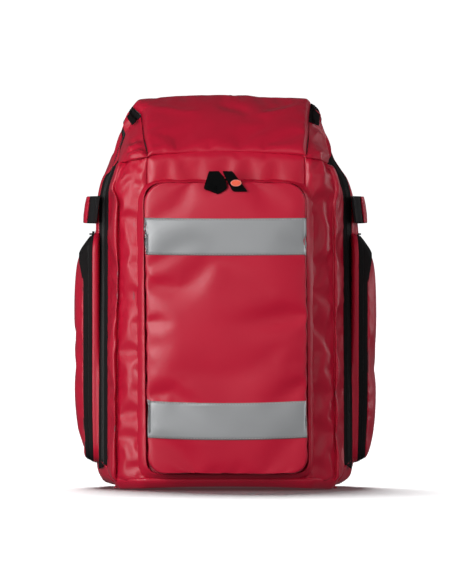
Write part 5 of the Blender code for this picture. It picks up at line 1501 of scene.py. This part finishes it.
wall_shape = [
    (0.0010, 0.0022), (0.0016, 0.0060), (0.0018, 0.0110), (0.0018, 0.0165), (0.0014, 0.0215),
    (0.0004, 0.0236), (-0.0030, 0.0240),
]
pocket_cover, held = pillow(
    "front_pocket_cover", FACE_HALF, FACE_BOTTOM, FACE_TOP, FACE_RADIUS, 0.0048, wall_shape, 0.0035,
    on_pocket,
)
cover_points = points_of(pocket_cover)
sag = np.clip((0.075 - cover_points[:, 2]) / 0.05, 0, 1) ** 2
sag *= np.clip((FACE_Y + 0.019 - cover_points[:, 1]) / 0.012, 0, 1)
cover_points[:, 2] -= 0.0014 * sag
cover_points[:, 1] -= 0.0020 * sag
cover_points[:, 0] *= 1 + FACE_FLARE * (cover_points[:, 2] - FLARE_Z)
cover_points[:, 0] += pocket_lean(cover_points[:, 2])
put_points(pocket_cover, cover_points)
rumple(pocket_cover, 0.0012, 9.0, 31, ~held)
fold(pocket_cover, [(-0.1056, 0.1278), (-0.0583, 0.1472)], 0.0090, -0.0016)
settle(pocket_cover, held, slack=0.012, push=0.7, reach=0.006, bend=11.0)
sewn(pocket_cover, red_cloth, 0.0009)
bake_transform(pocket_cover)
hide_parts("pocket_cover")

# Pocket cover lining: a grey sheet behind the cover's padding, turned over and sewn to its side wall.
LINING_Y = -0.1335
LINING_INSET = 0.0075


def on_lining(u, v, n):
    return u * (1 + FACE_FLARE * (v - FLARE_Z)) + pocket_lean(v), LINING_Y + n, v


cover_lining, _ = pillow(
    "front_pocket_lining", FACE_HALF - LINING_INSET, FACE_BOTTOM + LINING_INSET, FACE_TOP - LINING_INSET,
    FACE_RADIUS, 0.0080, [(0.0004, 0.0020), (0.0006, -0.0030), (0.0006, -0.0060)], 0.0016, on_lining, True,
)
rumple(cover_lining, 0.0010, 16.0, 57)
sewn(cover_lining, grey_lining, 0.0008)
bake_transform(cover_lining)

# Reflective bands: two strips of silver glass-bead tape sewn across the pocket cover with pale thread.
# They follow the cover's swell, so their ends turn up a little.
BAND_HEIGHT = 0.051
BAND_SEARCH = np.linspace(0.0950, 0.1200, 51)
silver = woven(
    "silver_reflective_tape", (0.315, 0.320, 0.325), 0.46, pitch=0.0011, relief=0.22, drift=0.10, gloss=0.5,
    metal=0.25,
)
pale_thread = woven("pale_thread", (0.62, 0.50, 0.50), 0.7, pitch=0.0004, relief=0.3)


def face_end(side, low, high):
    """How far out the cover's face still looks forward between two heights, before its side wall."""
    ends = []
    for z in np.linspace(low, high, 15):
        line = [(side * x, FACE_Y - 0.01, z) for x in BAND_SEARCH]
        depth = lay_on(pocket_cover, line, (0, -1, 0), 0.0)[:, 1]
        ends.append(BAND_SEARCH[depth < FACE_Y + 0.0030].max())
    return side * min(ends)


for word, centre_z, turn_up in (("upper", 0.351, 0.0012), ("lower", 0.096, 0.0036)):
    across = np.linspace(-1, 1, 72)
    low, high = centre_z - 0.5 * BAND_HEIGHT, centre_z + 0.5 * BAND_HEIGHT + turn_up
    x = np.interp(across, (-1, 1), (face_end(-1, low, high), face_end(1, low, high)))
    rows = []
    for share in np.linspace(-0.5, 0.5, 13):
        z = centre_z + BAND_HEIGHT * share + turn_up * across**2
        rows.append(np.column_stack([x, np.full(len(x), FACE_Y - 0.01), z]))
    band = skin(f"{word}_reflective_band", lay_on(pocket_cover, np.array(rows), (0, -1, 0), 0.0009))
    sewn(band, silver, 0.0007, levels=0)
    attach(band, "front_pocket")
    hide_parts(f"{word}_band")
    for end, share in (("top", 0.468), ("bottom", -0.468)):
        z = centre_z + BAND_HEIGHT * share + turn_up * across**2
        row = np.column_stack([x, np.full(len(x), FACE_Y - 0.01), z])[1:-1]
        seam = stitches(
            f"{word}_band_{end}_stitches", lay_on(pocket_cover, row, (0, -1, 0), 0.0011), pale_thread
        )
        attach(seam, "front_pocket")

# Seam bindings: grey tape that covers the raw seams inside the door, round the pocket and along the hood.
# Each one is folded over its seam and sewn through.
binding_shape = [
    (-0.0042, -0.0995), (-0.0038, -0.0972), (-0.0008, -0.0964), (0.0026, -0.0972), (0.0032, -0.1010),
]
welt_binding = skin("pocket_seam_binding", [pocket_loop(inset, y) for inset, y in binding_shape], wrap=True)
bindings = [sewn(welt_binding, grey_lining, 0.0006)]
foot_line = [
    on_slope(x, 0.0112 - 0.0052 * (x / HOOD_FOOT_HALF) ** 2, -0.0062)
    for x in np.linspace(-0.1090, 0.1090, 50)
]
bindings.append(strip("hood_foot_binding", foot_line, SLOPE_UP, 0.0130, 0.0014, grey_lining))
for side, word in ((-1, "left"), (1, "right")):
    panel_line = [(side * FRONT_SEAM_X, -0.1000, z) for z in np.linspace(0.0150, 0.4600, 50)]
    bindings.append(strip(f"panel_seam_binding_{word}", panel_line, (1, 0, 0), 0.0100, 0.0014, grey_lining))
    climb = np.linspace(0.012, SLOPE_LENGTH - 0.010, 50)
    hood_line = [on_slope(side * (hood_half(side, v) - 0.0042), v, -0.0044) for v in climb]
    bindings.append(strip(f"hood_seam_binding_{word}", hood_line, (1, 0, 0), 0.0090, 0.0012, grey_lining))
for binding in bindings:
    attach(binding, "door")

# Zip sliders: painted metal sliders of two plates and a bridge.
# The front pair hangs rubber pulls over the cover, the right one with an orange button.
# The main pair has short moulded tabs, and the side ones have none.
slider_black = moulded(
    "black_slider_paint", (0.0045, 0.0045, 0.0048), 0.42, grain=1400.0, relief=0.08, gloss=0.3
)
pull_rubber = moulded(
    "black_pull_rubber", (0.0022, 0.0022, 0.0023), 0.55, grain=700.0, relief=0.25, gloss=0.04
)
rim_rubber = moulded("pale_orange_rubber", (0.80, 0.24, 0.20), 0.45, grain=800.0, relief=0.12)
dot_rubber = moulded("orange_rubber", (0.78, 0.105, 0.045), 0.5, grain=800.0, relief=0.12)


def plate(name, outline, thickness, bevel, place, look, step=(1, 1)):
    """A flat moulded piece with rounded edges; place turns (across, along, out) into a point.

    step is the size of one step across and along, where place isn't in metres.
    """
    outline = np.asarray(outline, float)
    run = np.roll(outline, -1, axis=0) - np.roll(outline, 1, axis=0)
    inward = unit(np.column_stack([-run[:, 1], run[:, 0]]))
    half = thickness / 2
    rings = []
    for inset, out in (
        (bevel, -half), (bevel * 0.3, -half + bevel * 0.3), (0, -half + bevel), (0, half - bevel),
        (bevel * 0.3, half - bevel * 0.3), (bevel, half),
    ):
        rings.append([place(u, v, out) for u, v in outline + inward * inset / np.array(step)])
    made = skin(name, np.array(rings), wrap=True)
    count = len(outline)
    last = (len(rings) - 1) * count
    add_faces(made, [list(range(count - 1, -1, -1)), [last + k for k in range(count)]])
    return dress(made, look, flat_ends=True)


def slider_body(name, middle, along, out, width, length, height):
    """Two plates and a bridge on the zip's line: along is the way it slides, out is off the zip."""
    middle, along, out = (np.array(v, float) for v in (middle, along, out))
    side = np.cross(along, out)
    shape = rounded(
        [
            (-0.30 * width, -0.5 * length, 0.001), (0.30 * width, -0.5 * length, 0.001),
            (0.5 * width, 0.10 * length, 0.003), (0.42 * width, 0.5 * length, 0.002),
            (-0.42 * width, 0.5 * length, 0.002), (-0.5 * width, 0.10 * length, 0.003),
        ],
        40,
    )
    parts = []
    for level in (-0.36, 0.12):

        def place(u, v, n, level=level):
            return middle + side * u + along * v + out * (height * level + n)

        parts.append(plate("plate", shape, height * 0.24, height * 0.07, place, slider_black))
    arch = spline([(-0.34, 0.12), (-0.30, 0.38), (0.0, 0.47), (0.30, 0.38), (0.34, 0.12)], 20)
    arch = [middle + along * length * a + out * height * b for a, b in arch]
    parts.append(strip("bridge", arch, side, width * 0.30, height * 0.10, slider_black))
    foot, head = (middle - along * length * 0.2 + out * height * level for level in (-0.3, 0.1))
    parts.append(bar("post", foot, head, width * 0.25, length * 0.2, side, slider_black))
    return joined(name, parts)


PULL_Y, PULL_Z, PULL_HEAD, PULL_LENGTH = -0.1436, 0.4404, 0.0009, 0.0259
for side, word, x, lean, slant in ((-1, "left", -0.0170, -0.0040, 0.0070), (1, "right", 0.0020, 0.0170, 0.0)):
    place = (x, -0.1280, 0.4292)
    body = slider_body(f"front_slider_{word}_body", place, (side, 0, 0), (0, 0, 1), 0.0150, 0.0156, 0.0130)
    arm = spline([(x, -0.1280, 0.4338), (x, -0.1350, 0.4385), (x, -0.1408, 0.4398)], 16)
    arm = strip("arm", arm, (1, 0, 0), 0.0046, 0.0022, slider_black)
    slider = joined(f"front_slider_{word}_body", [body, arm])
    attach(slider, f"front_zip_{word}")
    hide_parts(f"front_slider_{word}")

    def on_pull(u, v, n, x=x, lean=lean, slant=slant):
        """A point of the hanging tab: u from -1 to 1 across it, v from 0 at the head to 1 at the end."""
        half = 0.0065 + 0.00275 * v
        drop = (PULL_HEAD + PULL_LENGTH) * v + 0.5 * slant * u * v
        return np.array((x + lean * v + half * u, PULL_Y - n, PULL_Z + PULL_HEAD - drop))

    # Painted shadow, in part: the left pull's ear widens its black rubber to the right, over the slider body
    # and the shadow the pulls throw on the cover.
    slider_and_shadow_ear = [(2.55, 0.60, 0.14), (1.95, 0.22, 0.10)] if side < 0 else []
    outline = rounded(
        [(-0.97, 0.01, 0.06), (-0.985, 0.99, 0.08), (0.985, 0.99, 0.08), *slider_and_shadow_ear, (0.97, 0.01, 0.06)], 120
    )
    parts = [plate("tab", outline, 0.0038, 0.0011, on_pull, pull_rubber, (0.0080, 0.0265))]
    for low in (0.70, 0.79, 0.88):
        tips = on_pull(-0.84, low, 0.0019), on_pull(0.84, low, 0.0019)
        parts.append(bar("rib", *tips, 0.0013, 0.0018, (0, 0, 1), pull_rubber))
    pull = joined(f"front_pull_{word}_rubber", parts)
    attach(pull, f"front_pull_{word}")
    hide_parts(f"front_pull_{word}")
    if side > 0:
        turns = np.linspace(0, 2 * math.pi, 48, endpoint=False)
        oval = [(0.0066 * math.cos(a), 0.0040 * math.sin(a)) for a in turns]

        def on_dot(u, v, n, x=x):
            return np.array((x + 0.0116 + u, PULL_Y - 0.0026 - n, PULL_Z - 0.0148 + v))

        ring = [(1.14 * u, 1.16 * v) for u, v in oval]
        dot = joined("pull_dot_button", [
            plate("button", oval, 0.0014, 0.0006, on_dot, dot_rubber),
            plate("rim", ring, 0.0010, 0.0003, on_dot, rim_rubber),
        ])
        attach(dot, f"front_pull_{word}")
        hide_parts("pull_dot")

    place = (side * 0.007, 0.0177, 0.5472)
    body = slider_body(f"main_slider_{word}_body", place, (side, 0, 0), (0, 0, 1), 0.0150, 0.0098, 0.0056)
    tab_line = [
        (0.007, 0.0235, 0.5502), (0.007, 0.0300, 0.5512), (0.0072, 0.0400, 0.5506), (0.007, 0.0545, 0.5504),
    ]
    tab_line = spline(np.array(tab_line) * np.array((side, 1, 1)), 24)
    tab_width = np.concatenate([np.full(8, 0.0042), np.linspace(0.0052, 0.0086, 16)])
    tab = strip("tab", tab_line, (1, 0, 0), tab_width, 0.0026, pull_rubber, bulge=0.1)
    main_slider = joined(f"main_slider_{word}_set", [body, tab])
    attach(main_slider, f"main_zip_{word}")
    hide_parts(f"main_slider_{word}")

    place = (side * 0.1862, 0.0450, 0.3556)
    body = slider_body(f"side_slider_{word}_body", place, (0, -1, 0), (0, 0, 1), 0.0118, 0.0136, 0.0100)
    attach(body, f"side_zip_{word}")
    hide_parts(f"side_slider_{word}")

# Studio: a pale floor between four white backdrops, with a key light on the left and softer ones round it.
# Two more wash over its front and its back, and the camera looks level at it from far away.
CAMERA_Z = 0.275
CAMERA_DISTANCE = 9.0
CAMERA_TURN = math.radians(0.4)
VIEW_HEIGHT = 0.811
SENSOR = 36


def stage_sheet(name, corners, colour, glow):
    """A flat sheet of the stage that also gives off some light of its own."""
    made = new_piece(name, corners, [(0, 1, 2, 3)])
    look = bpy.data.materials.new(name)
    look.use_nodes = True
    shader = look.node_tree.nodes["Principled BSDF"]
    shader.inputs["Base Color"].default_value = (*colour, 1)
    shader.inputs["Roughness"].default_value = 0.85
    shader.inputs["Emission Color"].default_value = (1, 1, 1, 1)
    shader.inputs["Emission Strength"].default_value = glow
    made.data.materials.append(look)
    return made


REACH = 60.0
FLOOR_Z = -0.0006
floor_corners = [
    (-REACH, -REACH, FLOOR_Z), (REACH, -REACH, FLOOR_Z), (REACH, REACH, FLOOR_Z), (-REACH, REACH, FLOOR_Z)
]
floor = stage_sheet("pale_floor", floor_corners, (0.92, 0.92, 0.92), 0.02)
wall = [(-REACH, REACH, FLOOR_Z), (REACH, REACH, FLOOR_Z), (REACH, REACH, REACH), (-REACH, REACH, REACH)]
backdrops = []
for number, turn in enumerate((0, 90, 180, 270)):
    face = Matrix.Rotation(math.radians(turn), 3, "Z")
    corners = [face @ Vector(c) for c in wall]
    backdrops.append(stage_sheet(f"white_backdrop_{number}", corners, (0.9, 0.9, 0.9), 1.0))
for seen in (floor, *backdrops):
    seen.visible_diffuse = False
    seen.visible_glossy = False
    seen.visible_shadow = False

world = bpy.data.worlds.new("studio")
world.use_nodes = True
world.node_tree.nodes["Background"].inputs["Color"].default_value = (0.92, 0.94, 1.0, 1)
world.node_tree.nodes["Background"].inputs["Strength"].default_value = 0.12
bpy.context.scene.world = world


def soft_light(name, place, aim, width, height, power, glossy=True):
    """A rectangular lamp that looks at a point; glossy ones also show as highlights on the cloth."""
    lamp = bpy.data.lights.new(name, "AREA")
    lamp.shape = "RECTANGLE"
    lamp.size = width
    lamp.size_y = height
    lamp.energy = power
    made = bpy.data.objects.new(name, lamp)
    made.location = place
    made.rotation_euler = (Vector(aim) - Vector(place)).to_track_quat("-Z", "Y").to_euler()
    made.visible_glossy = glossy
    bpy.context.scene.collection.objects.link(made)
    return made


lamps = [
    soft_light("key_light", (-0.95, -1.55, 0.74), (0, -0.05, 0.27), 0.8, 1.0, 23),
    soft_light("left_light", (-1.9, -0.70, 0.46), (0, -0.02, 0.30), 0.7, 1.0, 13),
    soft_light("rim_light", (1.5, 0.8, 0.8), (0, 0.0, 0.30), 0.4, 1.4, 4),
    soft_light("fill_light", (1.7, -1.4, 0.7), (0, -0.05, 0.25), 1.0, 1.2, 12, glossy=False),
    soft_light("front_wash", (0.3, -3.6, 0.8), (0, -0.05, 0.27), 2.0, 2.0, 16, glossy=False),
    soft_light("back_wash", (0.7, 3.2, 1.1), (0, 0.1, 0.27), 2.0, 2.0, 85, glossy=False),
]

# Floor light: a soft light from behind and above that whitens the floor and throws the pack's shadow forward.
# It falls on the floor alone, and the lamps on the pack don't.
sun = bpy.data.lights.new("floor_light", "SUN")
sun.energy = 4.6
sun.angle = math.radians(34)
floor_light = bpy.data.objects.new("floor_light", sun)
floor_light.rotation_euler = Vector((0.10, -0.55, -0.83)).to_track_quat("-Z", "Y").to_euler()
bpy.context.scene.collection.objects.link(floor_light)
floor_only = bpy.data.collections.new("floor_only")
floor_only.objects.link(floor)
floor_light.light_linking.receiver_collection = floor_only
pack_only = bpy.data.collections.new("pack_only")
pack_only.objects.link(floor)
pack_only.collection_objects[0].light_linking.link_state = "EXCLUDE"
for lamp in lamps:
    lamp.light_linking.receiver_collection = pack_only

camera = bpy.data.cameras.new("camera")
camera.sensor_width = SENSOR
camera.sensor_fit = "AUTO"
camera.lens = SENSOR * CAMERA_DISTANCE / VIEW_HEIGHT
camera.clip_end = 300
viewpoint = bpy.data.objects.new("camera", camera)
viewpoint.location = (
    -CAMERA_DISTANCE * math.sin(CAMERA_TURN), FRONT_Y - CAMERA_DISTANCE * math.cos(CAMERA_TURN), CAMERA_Z
)
viewpoint.rotation_euler = (math.radians(90), 0, -CAMERA_TURN)
bpy.context.scene.collection.objects.link(viewpoint)
bpy.context.scene.camera = viewpoint
bpy.context.scene.view_settings.view_transform = "Standard"
